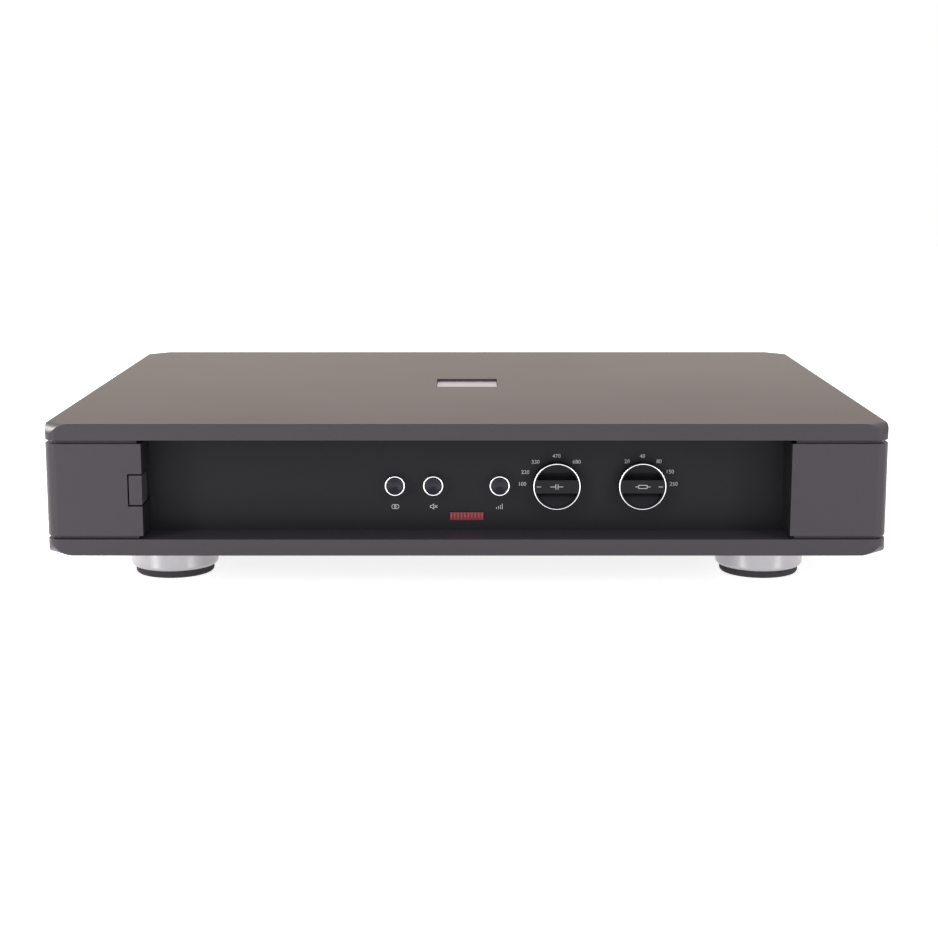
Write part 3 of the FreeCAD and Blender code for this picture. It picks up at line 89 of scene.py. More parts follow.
# %% Node helpers
def connect(tree, value, socket):
    """Links an output to a socket, or sets the socket to a plain value."""
    if isinstance(value, bpy.types.NodeSocket):
        tree.links.new(value, socket)
    else:
        socket.default_value = value


def add_node(tree, kind, **inputs):
    """A shader node with its inputs set or linked by name."""
    made = tree.nodes.new(kind)
    for name, value in inputs.items():
        connect(tree, value, made.inputs[name.replace("_", " ")])
    return made


def math_node(tree, operation, first, second=0.0, clamp=False):
    """The output of a Math node."""
    made = tree.nodes.new("ShaderNodeMath")
    made.operation = operation
    made.use_clamp = clamp
    connect(tree, first, made.inputs[0])
    connect(tree, second, made.inputs[1])
    return made.outputs[0]


def mix_colors(tree, factor, first, second):
    """Two colours blended by a factor. The numbers are the colour sockets of a Mix node."""
    made = tree.nodes.new("ShaderNodeMix")
    made.data_type = "RGBA"
    connect(tree, factor, made.inputs["Factor"])
    connect(tree, first, made.inputs[6])
    connect(tree, second, made.inputs[7])
    return made.outputs[2]


def seen_directly(tree):
    """1 where the lens, a reflection or glass looks, and 0 for light that falls on things."""
    path = tree.nodes.new("ShaderNodeLightPath")
    either = math_node(tree, "ADD", path.outputs["Is Camera Ray"], path.outputs["Is Glossy Ray"])
    return math_node(tree, "ADD", either, path.outputs["Is Transmission Ray"], clamp=True)


# %% World
WORLD_LIGHT = 0.55
FRONT_TINT = (0.95, 0.93, 1.0, 1)
REAR_TINT = (1.0, 0.90, 0.84, 1)
TINT_CHANGE = 1.5
WHITE = (1, 1, 1, 1)

world = bpy.data.worlds.new("studio")
scene.world = world
world.use_nodes = True
world_tree = world.node_tree
background = world_tree.nodes["Background"]
sky_spot = world_tree.nodes.new("ShaderNodeTexCoord").outputs["Generated"]
sky_way = add_node(world_tree, "ShaderNodeSeparateXYZ", Vector=sky_spot)
rearward = math_node(world_tree, "MULTIPLY", sky_way.outputs["Y"], TINT_CHANGE)
tint = mix_colors(world_tree, math_node(world_tree, "ADD", rearward, 0.5, clamp=True), FRONT_TINT, REAR_TINT)
lens_looks = world_tree.nodes.new("ShaderNodeLightPath").outputs["Is Camera Ray"]
world_tree.links.new(mix_colors(world_tree, lens_looks, tint, WHITE), background.inputs["Color"])
lift = math_node(world_tree, "MULTIPLY", seen_directly(world_tree), 1 - WORLD_LIGHT)
world_tree.links.new(math_node(world_tree, "ADD", lift, WORLD_LIGHT), background.inputs["Strength"])
print("world light:", WORLD_LIGHT)

# %% Floor
FLOOR_SIZE = 6.0
FLOOR_COLOR = (0.93, 0.93, 0.93, 1)
FLOOR_ROUGHNESS = 0.9
FLOOR_GLOW = 0.82

floor_mesh = bpy.data.meshes.new("floor")
reach = FLOOR_SIZE / 2
floor_mesh.from_pydata([(-reach, -reach, 0), (reach, -reach, 0), (reach, reach, 0), (-reach, reach, 0)],
                       [], [(0, 1, 2, 3)])
floor = bpy.data.objects.new("floor", floor_mesh)
scene.collection.objects.link(floor)
floor_paint = bpy.data.materials.new("floor_white")
floor_paint.use_nodes = True
floor_shader = floor_paint.node_tree.nodes["Principled BSDF"]
floor_shader.inputs["Base Color"].default_value = FLOOR_COLOR
floor_shader.inputs["Roughness"].default_value = FLOOR_ROUGHNESS
floor_shader.inputs["Emission Color"].default_value = WHITE
floor_glow = math_node(floor_paint.node_tree, "MULTIPLY", seen_directly(floor_paint.node_tree), FLOOR_GLOW)
floor_paint.node_tree.links.new(floor_glow, floor_shader.inputs["Emission Strength"])
floor.data.materials.append(floor_paint)
print("floor:", FLOOR_SIZE, "m across")

# %% [markdown]
# A case this dark is read by what it reflects. Two tall soft boxes stand at the front,
# one on each side, for the upright streaks on the round feet. A wide one hangs overhead
# and a small one stands behind on the left, to lift the lid's edge. One lamp would be
# simpler, but it would light one side only.

# %% Lamps
def softbox(name, place, aim, width, height, power):
    """An area lamp at a place in metres, turned to an aim, with its power in watts."""
    data = bpy.data.lights.new(name, "AREA")
    data.shape = "RECTANGLE"
    data.size = width
    data.size_y = height
    data.energy = power
    lamp = bpy.data.objects.new(name, data)
    lamp.location = place
    lamp.rotation_euler = (Vector(aim) - Vector(place)).to_track_quat("-Z", "Y").to_euler()
    scene.collection.objects.link(lamp)


softbox("left_box", (-1.25, -1.25, 0.65), (0, 0, 0.05), 0.4, 1.3, 12)
softbox("right_box", (1.25, -1.25, 0.65), (0, 0, 0.05), 0.4, 1.3, 9)
softbox("top_box", (0, 0.1, 1.7), (0, 0, 0), 1.8, 1.4, 8)
softbox("edge_box", (-1.5, 0.55, 0.85), (-0.2, -0.15, 0.08), 0.4, 0.7, 22)
print("lamps:", len(bpy.data.lights))

# %% [markdown]
# Most finishes on this object are metal or plastic with a fine texture. Three shader
# groups hold what they share: a fine grain, brushed lines and the rings that a lathe
# leaves. Each is built once, and every material uses it with its own values.

# %% Group helper
def new_group(name, inputs, outputs):
    """A shader group with named inputs and outputs, and its two end nodes."""
    tree = bpy.data.node_groups.new(name, "ShaderNodeTree")
    for label, kind, value in inputs:
        socket = tree.interface.new_socket(label, in_out="INPUT", socket_type=kind)
        socket.default_value = value
    for label, kind in outputs:
        tree.interface.new_socket(label, in_out="OUTPUT", socket_type=kind)
    return tree, tree.nodes.new("NodeGroupInput"), tree.nodes.new("NodeGroupOutput")


NUMBER, COLOR, ARROW = "NodeSocketFloat", "NodeSocketColor", "NodeSocketVector"


def spread(tree, value, base, amount):
    """Turns a texture from 0 to 1 into a value around base, amount wide."""
    centred = math_node(tree, "SUBTRACT", value, 0.5)
    return math_node(tree, "ADD", math_node(tree, "MULTIPLY", centred, amount), base)


def toned(tree, color, factor):
    """The colour made lighter or darker by a factor near 1."""
    scaled = tree.nodes.new("ShaderNodeVectorMath")
    scaled.operation = "SCALE"
    tree.links.new(color, scaled.inputs[0])
    tree.links.new(factor, scaled.inputs["Scale"])
    return scaled.outputs[0]


# %% Fine grain, as on blasted and anodised metal or moulded plastic
CLOUD_SCALE = 7.0

grain, grain_in, grain_out = new_group(
    "fine_grain",
    [("Color", COLOR, (0.1, 0.1, 0.1, 1)), ("Roughness", NUMBER, 0.4), ("Scale", NUMBER, 1800.0),
     ("Tone Change", NUMBER, 0.1), ("Roughness Change", NUMBER, 0.1)],
    [("Color", COLOR), ("Roughness", NUMBER), ("Height", NUMBER)])
grain_spot = grain.nodes.new("ShaderNodeTexCoord").outputs["Object"]
speckle = add_node(grain, "ShaderNodeTexNoise", Vector=grain_spot, Detail=3.0,
                   Scale=grain_in.outputs["Scale"])
cloud = add_node(grain, "ShaderNodeTexNoise", Vector=grain_spot, Scale=CLOUD_SCALE, Detail=2.0)
fine, broad = speckle.outputs["Fac"], cloud.outputs["Fac"]
mixed = math_node(grain, "MULTIPLY", math_node(grain, "ADD", fine, broad), 0.5)
tone = spread(grain, mixed, 1.0, grain_in.outputs["Tone Change"])
grain.links.new(toned(grain, grain_in.outputs["Color"], tone), grain_out.inputs["Color"])
grain.links.new(spread(grain, mixed, grain_in.outputs["Roughness"], grain_in.outputs["Roughness Change"]),
                grain_out.inputs["Roughness"])
grain.links.new(fine, grain_out.inputs["Height"])

# %% Brushed lines, drawn out along one axis
brushed, brushed_in, brushed_out = new_group(
    "brushed_lines",
    [("Color", COLOR, (0.6, 0.6, 0.6, 1)), ("Roughness", NUMBER, 0.3),
     ("Stretch", ARROW, (8.0, 2500.0, 2500.0)), ("Tone Change", NUMBER, 0.25),
     ("Roughness Change", NUMBER, 0.2)],
    [("Color", COLOR), ("Roughness", NUMBER), ("Height", NUMBER)])
brushed_spot = brushed.nodes.new("ShaderNodeTexCoord").outputs["Object"]
stretched = brushed.nodes.new("ShaderNodeVectorMath")
stretched.operation = "MULTIPLY"
brushed.links.new(brushed_spot, stretched.inputs[0])
brushed.links.new(brushed_in.outputs["Stretch"], stretched.inputs[1])
hairs = add_node(brushed, "ShaderNodeTexNoise", Vector=stretched.outputs[0], Scale=1.0, Detail=3.0)
hair = hairs.outputs["Fac"]
hair_tone = spread(brushed, hair, 1.0, brushed_in.outputs["Tone Change"])
brushed.links.new(toned(brushed, brushed_in.outputs["Color"], hair_tone), brushed_out.inputs["Color"])
hair_roughness = spread(brushed, hair, brushed_in.outputs["Roughness"],
                        brushed_in.outputs["Roughness Change"])
brushed.links.new(hair_roughness, brushed_out.inputs["Roughness"])
brushed.links.new(hair, brushed_out.inputs["Height"])

# %% Lathe rings, which follow each point's distance from the piece's own axis
rings, rings_in, rings_out = new_group(
    "lathe_rings",
    [("Color", COLOR, (0.7, 0.7, 0.7, 1)), ("Roughness", NUMBER, 0.25),
     ("Rings Per Metre", NUMBER, 9000.0), ("Tone Change", NUMBER, 0.1), ("Roughness Change", NUMBER, 0.12)],
    [("Color", COLOR), ("Roughness", NUMBER), ("Height", NUMBER)])
turn_radius = rings.nodes.new("ShaderNodeAttribute")
turn_radius.attribute_name = "turn_radius"
ring_step = math_node(rings, "MULTIPLY", turn_radius.outputs["Fac"], rings_in.outputs["Rings Per Metre"])
groove = rings.nodes.new("ShaderNodeTexNoise")
groove.noise_dimensions = "1D"
groove.inputs["Scale"].default_value = 1.0
groove.inputs["Detail"].default_value = 2.0
rings.links.new(ring_step, groove.inputs["W"])
cut = groove.outputs["Fac"]
cut_tone = spread(rings, cut, 1.0, rings_in.outputs["Tone Change"])
rings.links.new(toned(rings, rings_in.outputs["Color"], cut_tone), rings_out.inputs["Color"])
rings.links.new(spread(rings, cut, rings_in.outputs["Roughness"], rings_in.outputs["Roughness Change"]),
                rings_out.inputs["Roughness"])
rings.links.new(cut, rings_out.inputs["Height"])
print("groups:", [group.name for group in bpy.data.node_groups])

# %% [markdown]
# A finish is a Principled shader that takes its colour, roughness and bump from one of
# the groups. What is the same all over a surface, such as metallic or coat, is set on
# the shader itself.

# %% Finish builder
def finish(name, group, color, roughness, metallic=0.0, bump=0.05, depth=0.00002, settings=(), **values):
    """A material from a group. The bump's depth is in metres, and values go to the group."""
    material = bpy.data.materials.new(name)
    material.use_nodes = True
    tree = material.node_tree
    shader = tree.nodes["Principled BSDF"]
    texture = tree.nodes.new("ShaderNodeGroup")
    texture.node_tree = group
    texture.inputs["Color"].default_value = (*color, 1)
    texture.inputs["Roughness"].default_value = roughness
    for label, value in values.items():
        texture.inputs[label.replace("_", " ")].default_value = value
    relief = add_node(tree, "ShaderNodeBump", Strength=bump, Distance=depth, Height=texture.outputs["Height"])
    tree.links.new(texture.outputs["Color"], shader.inputs["Base Color"])
    tree.links.new(texture.outputs["Roughness"], shader.inputs["Roughness"])
    tree.links.new(relief.outputs["Normal"], shader.inputs["Normal"])
    shader.inputs["Metallic"].default_value = metallic
    for label, value in settings:
        shader.inputs[label].default_value = value
    return material


# %% [markdown]
# The case, panel and knobs are blasted or moulded black, so they use the grain. Turned
# pieces use the rings, and drawn or rolled metal the brushed lines. The feet get an
# anisotropic shine, turned by a quarter, since the fine rings of a lathe pull each
# highlight out along the axis.

# %% Finishes
case_gloss = [("Specular IOR Level", 0.34)]
no_gloss = [("Specular IOR Level", 0.03)]
turned_gloss = [("Anisotropic", 0.85), ("Anisotropic Rotation", 0.25)]
soft_gloss = [("Specular IOR Level", 0.16)]
knob_gloss = [("Specular IOR Level", 0.18)]
finishes = {
    "case_black": finish("case_black", grain, (0.045, 0.040, 0.048), 0.38, bump=0.12, settings=case_gloss,
                         Scale=2600.0, Tone_Change=0.16, Roughness_Change=0.12),
    # The case colour with a painted warm reflection, for the lid's upward faces.
    "lid_painted_warm_reflection": finish("lid_painted_warm_reflection", grain, (0.042, 0.032, 0.030), 0.38, bump=0.12, settings=case_gloss,
                       Scale=2600.0, Tone_Change=0.16, Roughness_Change=0.12),
    # Painted shade: near-black, for upward faces in the recess and the lid's front rounding.
    "painted_shade_dark": finish("painted_shade_dark", grain, (0.006, 0.005, 0.005), 0.5, bump=0.05, settings=no_gloss,
                        Scale=2600.0, Tone_Change=0.16),
    "panel_black": finish("panel_black", grain, (0.014, 0.014, 0.016), 0.46, bump=0.1, settings=soft_gloss,
                          Scale=2600.0, Tone_Change=0.2, Roughness_Change=0.12),
    "rear_black": finish("rear_black", grain, (0.028, 0.028, 0.030), 0.55, bump=0.5, depth=0.00006,
                         Scale=1500.0, Tone_Change=0.3, Roughness_Change=0.2),
    "inset_silver": finish("inset_silver", brushed, (0.56, 0.56, 0.60), 0.34, metallic=0.9, bump=0.15,
                           Stretch=(9.0, 3200.0, 3200.0), Tone_Change=0.22, Roughness_Change=0.16),
    "foot_silver": finish("foot_silver", rings, (0.52, 0.51, 0.53), 0.40, metallic=1.0, bump=0.1,
                          settings=turned_gloss, Rings_Per_Metre=5200.0, Tone_Change=0.10,
                          Roughness_Change=0.10),
    "pad_rubber": finish("pad_rubber", grain, (0.045, 0.043, 0.047), 0.72, bump=0.35, depth=0.00005,
                         Scale=1300.0, Tone_Change=0.3, Roughness_Change=0.15),
    "bright_ring": finish("bright_ring", rings, (0.90, 0.90, 0.92), 0.14, metallic=1.0, bump=0.05,
                          Rings_Per_Metre=12000.0, Tone_Change=0.06, Roughness_Change=0.06),
    "cap_black": finish("cap_black", rings, (0.028, 0.028, 0.034), 0.24, metallic=1.0, bump=0.35,
                        Rings_Per_Metre=9000.0, Tone_Change=0.3, Roughness_Change=0.14),
    "knob_black": finish("knob_black", grain, (0.008, 0.008, 0.010), 0.34, bump=0.1, settings=knob_gloss,
                         Scale=2600.0, Tone_Change=0.2, Roughness_Change=0.12),
    "pilot_red": finish("pilot_red", grain, (0.07, 0.004, 0.008), 0.3, bump=0.02, Scale=900.0),
    "zinc_steel": finish("zinc_steel", brushed, (0.55, 0.55, 0.56), 0.35, metallic=1.0, bump=0.1,
                         Stretch=(900.0, 60.0, 900.0)),
    "black_steel": finish("black_steel", grain, (0.045, 0.045, 0.047), 0.4, metallic=0.6, bump=0.15,
                          Scale=1900.0, Tone_Change=0.2),
    "socket_plastic": finish("socket_plastic", grain, (0.022, 0.022, 0.023), 0.48, bump=0.2,
                             Scale=1700.0, Tone_Change=0.25, Roughness_Change=0.15),
    "socket_metal": finish("socket_metal", grain, (0.52, 0.52, 0.54), 0.3, metallic=1.0, bump=0.12,
                           Scale=1500.0, Tone_Change=0.14, Roughness_Change=0.14),
    "gold_plate": finish("gold_plate", rings, (0.90, 0.66, 0.28), 0.2, metallic=1.0, bump=0.1,
                         Rings_Per_Metre=8000.0, Tone_Change=0.1),
    "circuit_board": finish("circuit_board", grain, (0.02, 0.13, 0.07), 0.35, bump=0.3, depth=0.00004,
                            Scale=420.0, Tone_Change=0.5, Roughness_Change=0.2),
    "copper_winding": finish("copper_winding", brushed, (0.62, 0.50, 0.16), 0.3, bump=0.4, depth=0.0001,
                             Stretch=(500.0, 500.0, 20.0), Tone_Change=0.3),
    "can_black": finish("can_black", grain, (0.03, 0.035, 0.07), 0.3, bump=0.05,
                        Scale=900.0, Tone_Change=0.2),
    "film_block": finish("film_block", grain, (0.34, 0.045, 0.03), 0.35, bump=0.1,
                         Scale=1100.0, Tone_Change=0.2),
    "sink_black": finish("sink_black", brushed, (0.03, 0.03, 0.03), 0.42, metallic=0.4, bump=0.2,
                         Stretch=(1800.0, 1800.0, 20.0), Tone_Change=0.3),
    "lead_grey": finish("lead_grey", grain, (0.28, 0.28, 0.29), 0.5, bump=0.1, Scale=900.0, Tone_Change=0.12),
    "fuse_glass": finish("fuse_glass", grain, (0.85, 0.88, 0.88), 0.08, bump=0.0,
                         settings=[("Transmission Weight", 0.9)], Scale=500.0, Tone_Change=0.02),
}

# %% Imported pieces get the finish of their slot
slot_of = {entry["node"]: entry["material_slot"] for entry in frame["record"]["subparts"]}
body_of = {node: body for body, members in frame["record"]["behaviour"]["bodies"].items() for node in members}
for node, obj in frame["nodes"].items():
    obj.data.materials.clear()
    obj.data.materials.append(finishes[slot_of[node]])
print("finishes:", len(finishes))

# %% [markdown]
# No machined edge is perfectly sharp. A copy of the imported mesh, with its flat faces
# joined up and its sharp edges rounded a little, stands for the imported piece, at the
# same place and size. The Bevel modifier stops a rounding before it runs past a short
# edge nearby, over the whole piece, so it can come out much finer than asked.

# %% Rounded copies
SHARP_ANGLE = 28
FLAT_ANGLE = 0.5
SAME_SPOT = 1e-6
SLIVER = 3e-6


def new_piece(name, mesh, node):
    """Puts a mesh in the scene as the look of a node, on that node's body."""
    piece = bpy.data.objects.new(name, mesh)
    scene.collection.objects.link(piece)
    mesh.materials.clear()
    mesh.materials.append(finishes[slot_of[node]])
    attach(piece, body_of[node])
    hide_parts(node)
    return piece


def shade(mesh, angle=SHARP_ANGLE):
    """Smooth shading, with the edges above an angle kept sharp."""
    mesh.shade_smooth()
    mesh.set_sharp_from_angle(angle=math.radians(angle))


def as_mesh(holder):
    """The mesh that an object shows, with its modifiers or text worked in."""
    return bpy.data.meshes.new_from_object(holder.evaluated_get(bpy.context.evaluated_depsgraph_get()))


def rounded_copy(node, radius, segments=2):
    """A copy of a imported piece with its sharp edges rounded, in millimetres."""
    source = frame["nodes"][node].data.copy()
    shape = bmesh.new()
    shape.from_mesh(source)
    bmesh.ops.remove_doubles(shape, verts=shape.verts, dist=SAME_SPOT)
    bmesh.ops.dissolve_degenerate(shape, dist=SLIVER, edges=shape.edges)
    flat = math.radians(FLAT_ANGLE)
    bmesh.ops.dissolve_limit(shape, angle_limit=flat, verts=shape.verts, edges=shape.edges)
    shape.to_mesh(source)
    shape.free()
    if "custom_normal" in source.attributes:
        source.attributes.remove(source.attributes["custom_normal"])
    shade(source)
    holder = bpy.data.objects.new(node + "_sharp", source)
    scene.collection.objects.link(holder)
    bevel = holder.modifiers.new("edges", "BEVEL")
    bevel.width = radius * MM
    bevel.segments = segments
    bevel.limit_method = "ANGLE"
    bevel.angle_limit = math.radians(SHARP_ANGLE)
    bevel.use_clamp_overlap = True
    bevel.harden_normals = True
    mesh = as_mesh(holder)
    mesh.name = node + "_shape"
    bpy.data.objects.remove(holder)
    return new_piece(node + "_look", mesh, node)


# %% [markdown]
# The lid, base and cheeks are thick aluminium, blasted and anodised black. The widths
# below, in millimetres, are the most that an edge gets. The lid and base have short
# edges at their corners, so theirs come out under 0.1 mm.

# %% Case
EDGES = {"top_cover": 0.8, "base_plate": 0.5, "left_cheek": 0.5, "right_cheek": 0.5, "power_button": 0.5,
         "lid_inset_plate": 0.2, "front_panel": 0.25}
case_pieces = {node: rounded_copy(node, radius) for node, radius in EDGES.items()}
print("case pieces:", len(case_pieces))

# %% [markdown]
# The front panel lies deep in a recess, and little light reaches the faces that line
# it. They could be separate pieces, but they are the same solid metal as the case. So
# those faces of the cheeks get painted shade: the panel's darker colour, and a still
# darker one where they look up. The ledge on the base keeps its own.

# %% Recess faces with painted shade
recess_low, recess_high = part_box("front_panel")


def paint_recess_shade(piece):
    """Paints shade on the faces lining the recess: the panel's colour, darker still where they look up."""
    mesh = piece.data
    mesh.materials.append(finishes["panel_black"])
    mesh.materials.append(finishes["painted_shade_dark"])
    counted = 0
    for face in mesh.polygons:
        ahead = face.center.y < recess_low.y + MM
        between = abs(face.center.x) < recess_high.x
        level = recess_low.z - MM < face.center.z < recess_high.z + MM
        if ahead and between and level and face.normal.y > -0.2:
            # Painted shade: the panel's colour on the side faces, near-black on faces that look up.
            face.material_index = 2 if face.normal.z > 0.7 else 1
            counted += 1
    print(piece.name, "recess faces:", counted)


for node in ("left_cheek", "right_cheek"):
    paint_recess_shade(case_pieces[node])

# %% [markdown]
# The lid's top looks warmer than its edge, so its upward faces get a painted warm
# reflection. The rounding at the front, away from the corners, gets painted shade. That
# rounding is too fine here for a dark line to show from the camera.

# %% Painted warm reflection on the lid's top and painted shade on its front rounding
CORNER_LENGTH = 12 * MM

lid_mesh = case_pieces["top_cover"].data
lid_mesh.materials.append(finishes["lid_painted_warm_reflection"])
lid_mesh.materials.append(finishes["painted_shade_dark"])
straight_run = case_high.x - CORNER_LENGTH
# Upward faces get the painted warm reflection, and the straight front rounding gets painted shade.
for face in lid_mesh.polygons:
    if face.normal.z > 0.97:
        face.material_index = 1
    elif face.normal.z > 0.35 and face.normal.y < -0.3 and abs(face.center.x) < straight_run:
        face.material_index = 2
print("lid faces:", [sum(face.material_index == count for face in lid_mesh.polygons) for count in range(3)])

# %% [markdown]
# Turned pieces are spun from half a profile. Each point keeps its distance from the
# axis in an attribute, which the lathe rings read.

# %% Lathe helpers
TURNED_ANGLE = 35
ON_AXIS = 1e-6


def arc(centre, radius, start, end, steps=6):
    """Points of a profile along part of a circle, in degrees."""
    spots = []
    for count in range(steps + 1):
        angle = math.radians(start + (end - start) * count / steps)
        spots.append((centre[0] + radius * math.cos(angle), centre[1] + radius * math.sin(angle)))
    return spots


def spun(name, profile, centre, facing, steps=96):
    """A closed solid of revolution from (radius, height) points in millimetres."""
    turn = Vector(facing).to_track_quat("Z", "Y").to_matrix()
    shape = bmesh.new()
    radii = shape.verts.layers.float.new("turn_radius")
    rows = []
    for radius, height in profile:
        count = 1 if radius < ON_AXIS else steps
        row = []
        for index in range(count):
            angle = 2 * math.pi * index / steps
            local = Vector((radius * math.cos(angle), radius * math.sin(angle), height)) * MM
            vert = shape.verts.new(Vector(centre) + turn @ local)
            vert[radii] = radius * MM
            row.append(vert)
        rows.append(row)
    closed = profile[0][0] > ON_AXIS and profile[-1][0] > ON_AXIS
    pairs = list(zip(rows, rows[1:])) + ([(rows[-1], rows[0])] if closed else [])
    for first, second in pairs:
        for index in range(steps):
            after = (index + 1) % steps
            corners = [first[index % len(first)], first[after % len(first)],
                       second[after % len(second)], second[index % len(second)]]
            unique = list(dict.fromkeys(corners))
            if len(unique) > 2:
                shape.faces.new(unique)
    bmesh.ops.recalc_face_normals(shape, faces=shape.faces)
    mesh = bpy.data.meshes.new(name)
    shape.to_mesh(mesh)
    shape.free()
    shade(mesh, TURNED_ANGLE)
    return mesh


def middle(node):
    """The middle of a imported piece's box."""
    low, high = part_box(node)
    return (low + high) / 2


def mark_radius(piece, centre, axis):
    """Writes each point's distance from an axis through centre, for the lathe rings."""
    values = []
    for vert in piece.data.vertices:
        offset = vert.co - centre
        values.append((offset - axis * offset.dot(axis)).length)
    layer = piece.data.attributes.new("turn_radius", "FLOAT", "POINT")
    layer.data.foreach_set("value", values)


# %% [markdown]
# Each foot is turned from aluminium, a little wider at the top, with a rounded lower
# edge. A rubber pad, a little narrower, plugs into its underside. Both are spun from a
# profile, which is how a lathe makes the real foot.

# %% Feet and pads
FOOT_TAPER = 1.2
FOOT_ROUND = 2.4

for corner in ("front_left", "front_right", "rear_left", "rear_right"):
    foot_low, foot_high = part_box(corner + "_foot")
    pad_low, pad_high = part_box(corner + "_pad")
    spot = middle(corner + "_foot")
    top = (foot_high.x - foot_low.x) / 2 / MM
    pad_top = foot_low.z / MM
    foot_top = foot_high.z / MM
    base = Vector((spot.x, spot.y, 0))
    waist = top - FOOT_TAPER
    foot_profile = [
        (4.0, foot_top),
        (4.0, pad_top + 7.0),
        (9.6, pad_top + 7.0),
        (9.6, pad_top),
        *arc((waist - FOOT_ROUND, pad_top + FOOT_ROUND), FOOT_ROUND, -90, 0, 10),
        (waist, pad_top + 4.4),
        (waist + 0.05, pad_top + 4.8),
        (top - 0.35, foot_top - 0.5),
        (top - 0.45, foot_top),
    ]
    new_piece(corner + "_foot_look", spun(corner + "_foot_shape", foot_profile, base, (0, 0, 1)),
              corner + "_foot")
    pad_radius = (pad_high.x - pad_low.x) / 2 / MM
    pad_profile = [
        (0, 0),
        (pad_radius - 2.2, 0),
        *arc((pad_radius - 1.7, 1.9), 1.9, -75, -5, 6),
        (pad_radius + 0.1, pad_top - 0.3),
        (pad_radius - 0.1, pad_top),
        (9.2, pad_top),
        (9.2, pad_top + 2.5),
        (0, pad_top + 2.5),
    ]
    new_piece(corner + "_pad_look", spun(corner + "_pad_shape", pad_profile, base, (0, 0, 1)),
              corner + "_pad")
print("foot:", round(top, 2), "mm radius, pad:", round(pad_radius, 2), "mm radius")

# %% [markdown]
# The push buttons are dark turned caps with a shallow dish for the fingertip. Each sits
# in a thin bright ring that is pressed into the panel. The three rings are one node, so
# their meshes are joined.

# %% Buttons and bezels
FRONT = Vector((0, -1, 0))
panel_face = recess_low.y
proud = (panel_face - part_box("button_bezels")[0].y) / MM
bezel_meshes = []
for node in ("mono_button", "mute_button", "gain_button"):
    low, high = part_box(node)
    spot = middle(node)
    cap = (high.x - low.x) / 2 / MM
    face = Vector((spot.x, low.y, spot.z))
    cap_profile = [
        (0, -1.0),
        (cap * 0.12, -0.98),
        (cap * 0.30, -0.86),
        (cap * 0.50, -0.62),
        (cap * 0.70, -0.30),
        (cap * 0.84, -0.08),
        *arc((cap - 0.35, -0.35), 0.35, 90, 0, 5),
        (cap, -10.5),
        (1.5, -10.5),
        (1.5, -17.0),
        (0, -17.0),
    ]
    new_piece(node + "_look", spun(node + "_shape", cap_profile, face, FRONT), node)
    ring = Vector((spot.x, panel_face, spot.z))
    bezel_profile = [
        (4.5, -5.4),
        (4.85, -5.4),
        (4.85, 0.02),
        (5.3, 0.02),
        (5.3, proud - 0.35),
        *arc((4.95, proud - 0.35), 0.35, 0, 90, 4),
        *arc((4.82, proud - 0.32), 0.32, 90, 180, 4),
        (4.5, proud - 1.0),
    ]
    bezel_meshes.append(spun("bezel_" + node, bezel_profile, ring, FRONT))


def joined(name, meshes):
    """Turned meshes as one, with the distance that each point keeps from its axis."""
    shape = bmesh.new()
    radii = shape.verts.layers.float.new("turn_radius")
    for mesh in meshes:
        shape.from_mesh(mesh)
        bpy.data.meshes.remove(mesh)
    mesh = bpy.data.meshes.new(name)
    shape.to_mesh(mesh)
    shape.free()
    shade(mesh, TURNED_ANGLE)
    return mesh


new_piece("button_bezels_look", joined("button_bezels_shape", bezel_meshes), "button_bezels")
print("rings stand proud by", round(proud, 2), "mm")

# %% [markdown]
# A knob is a round disc with a bar across it to grip, and a bright ring around it. Both
# knobs are the same moulding, so the rounded copy of one also serves as the other, moved
# from shaft to shaft.

# %% Knobs
left_knob_mesh = rounded_copy("left_knob", 0.3, 3).data
right_knob_mesh = left_knob_mesh.copy()
right_knob_mesh.transform(Matrix.Translation(middle("right_knob_shaft") - middle("left_knob_shaft")))
new_piece("right_knob_look", right_knob_mesh, "right_knob")
for side in ("left", "right"):
    knob_low, knob_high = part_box(side + "_knob")
    print(side, "knob size:", [round(length / MM, 2) for length in knob_high - knob_low])
    low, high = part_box(side + "_knob_ring")
    outer = (high.x - low.x) / 2 / MM
    spot = middle(side + "_knob_ring")
    deep = (high.y - low.y) / MM
    ring_profile = [
        (outer - 0.75, 0),
        (outer, 0),
        (outer, deep - 0.55),
        *arc((outer - 0.45, deep - 0.45), 0.45, 0, 90, 5),
        (outer - 0.62, deep - 0.05),
        (outer - 0.75, deep - 0.3),
    ]
    back = Vector((spot.x, high.y, spot.z))
    new_piece(side + "_knob_ring_look", spun(side + "_ring_shape", ring_profile, back, FRONT, 128),
              side + "_knob_ring")

# %% [markdown]
# Scales and pictures are printed in pale ink. Ink could be drawn in a material, but a
# flat piece keeps its edges crisp from any distance. So each print is a very thin flat
# piece that lies on its surface. Where lines cross, each lies a hair above the last.

# %% Ink
INK = 0.04
LETTER_SIZE = 1.38

finishes["print_white"] = finish("print_white", grain, (0.55, 0.55, 0.57), 0.6, bump=0.05, Scale=1500.0,
                                 Tone_Change=0.15)


def lay_ink(name, mesh, body):
    """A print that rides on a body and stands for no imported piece."""
    piece = bpy.data.objects.new(name, mesh)
    scene.collection.objects.link(piece)
    mesh.materials.clear()
    mesh.materials.append(finishes["print_white"])
    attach(piece, body)
    return piece


def flat_text(words, height, spot):
    """Words as a flat mesh that faces the front, centred on a spot."""
    curve = bpy.data.curves.new("words", "FONT")
    curve.body = words
    curve.size = height * LETTER_SIZE * MM
    curve.align_x = "CENTER"
    curve.align_y = "CENTER"
    curve.extrude = INK / 2 * MM
    curve.resolution_u = 3
    holder = bpy.data.objects.new("words", curve)
    scene.collection.objects.link(holder)
    bpy.context.view_layer.update()
    mesh = as_mesh(holder)
    mesh.transform(Matrix.Translation(spot) @ Matrix.Rotation(math.radians(90), 4, "X"))
    bpy.data.objects.remove(holder)
    return mesh


LONGEST_MITRE = 0.4


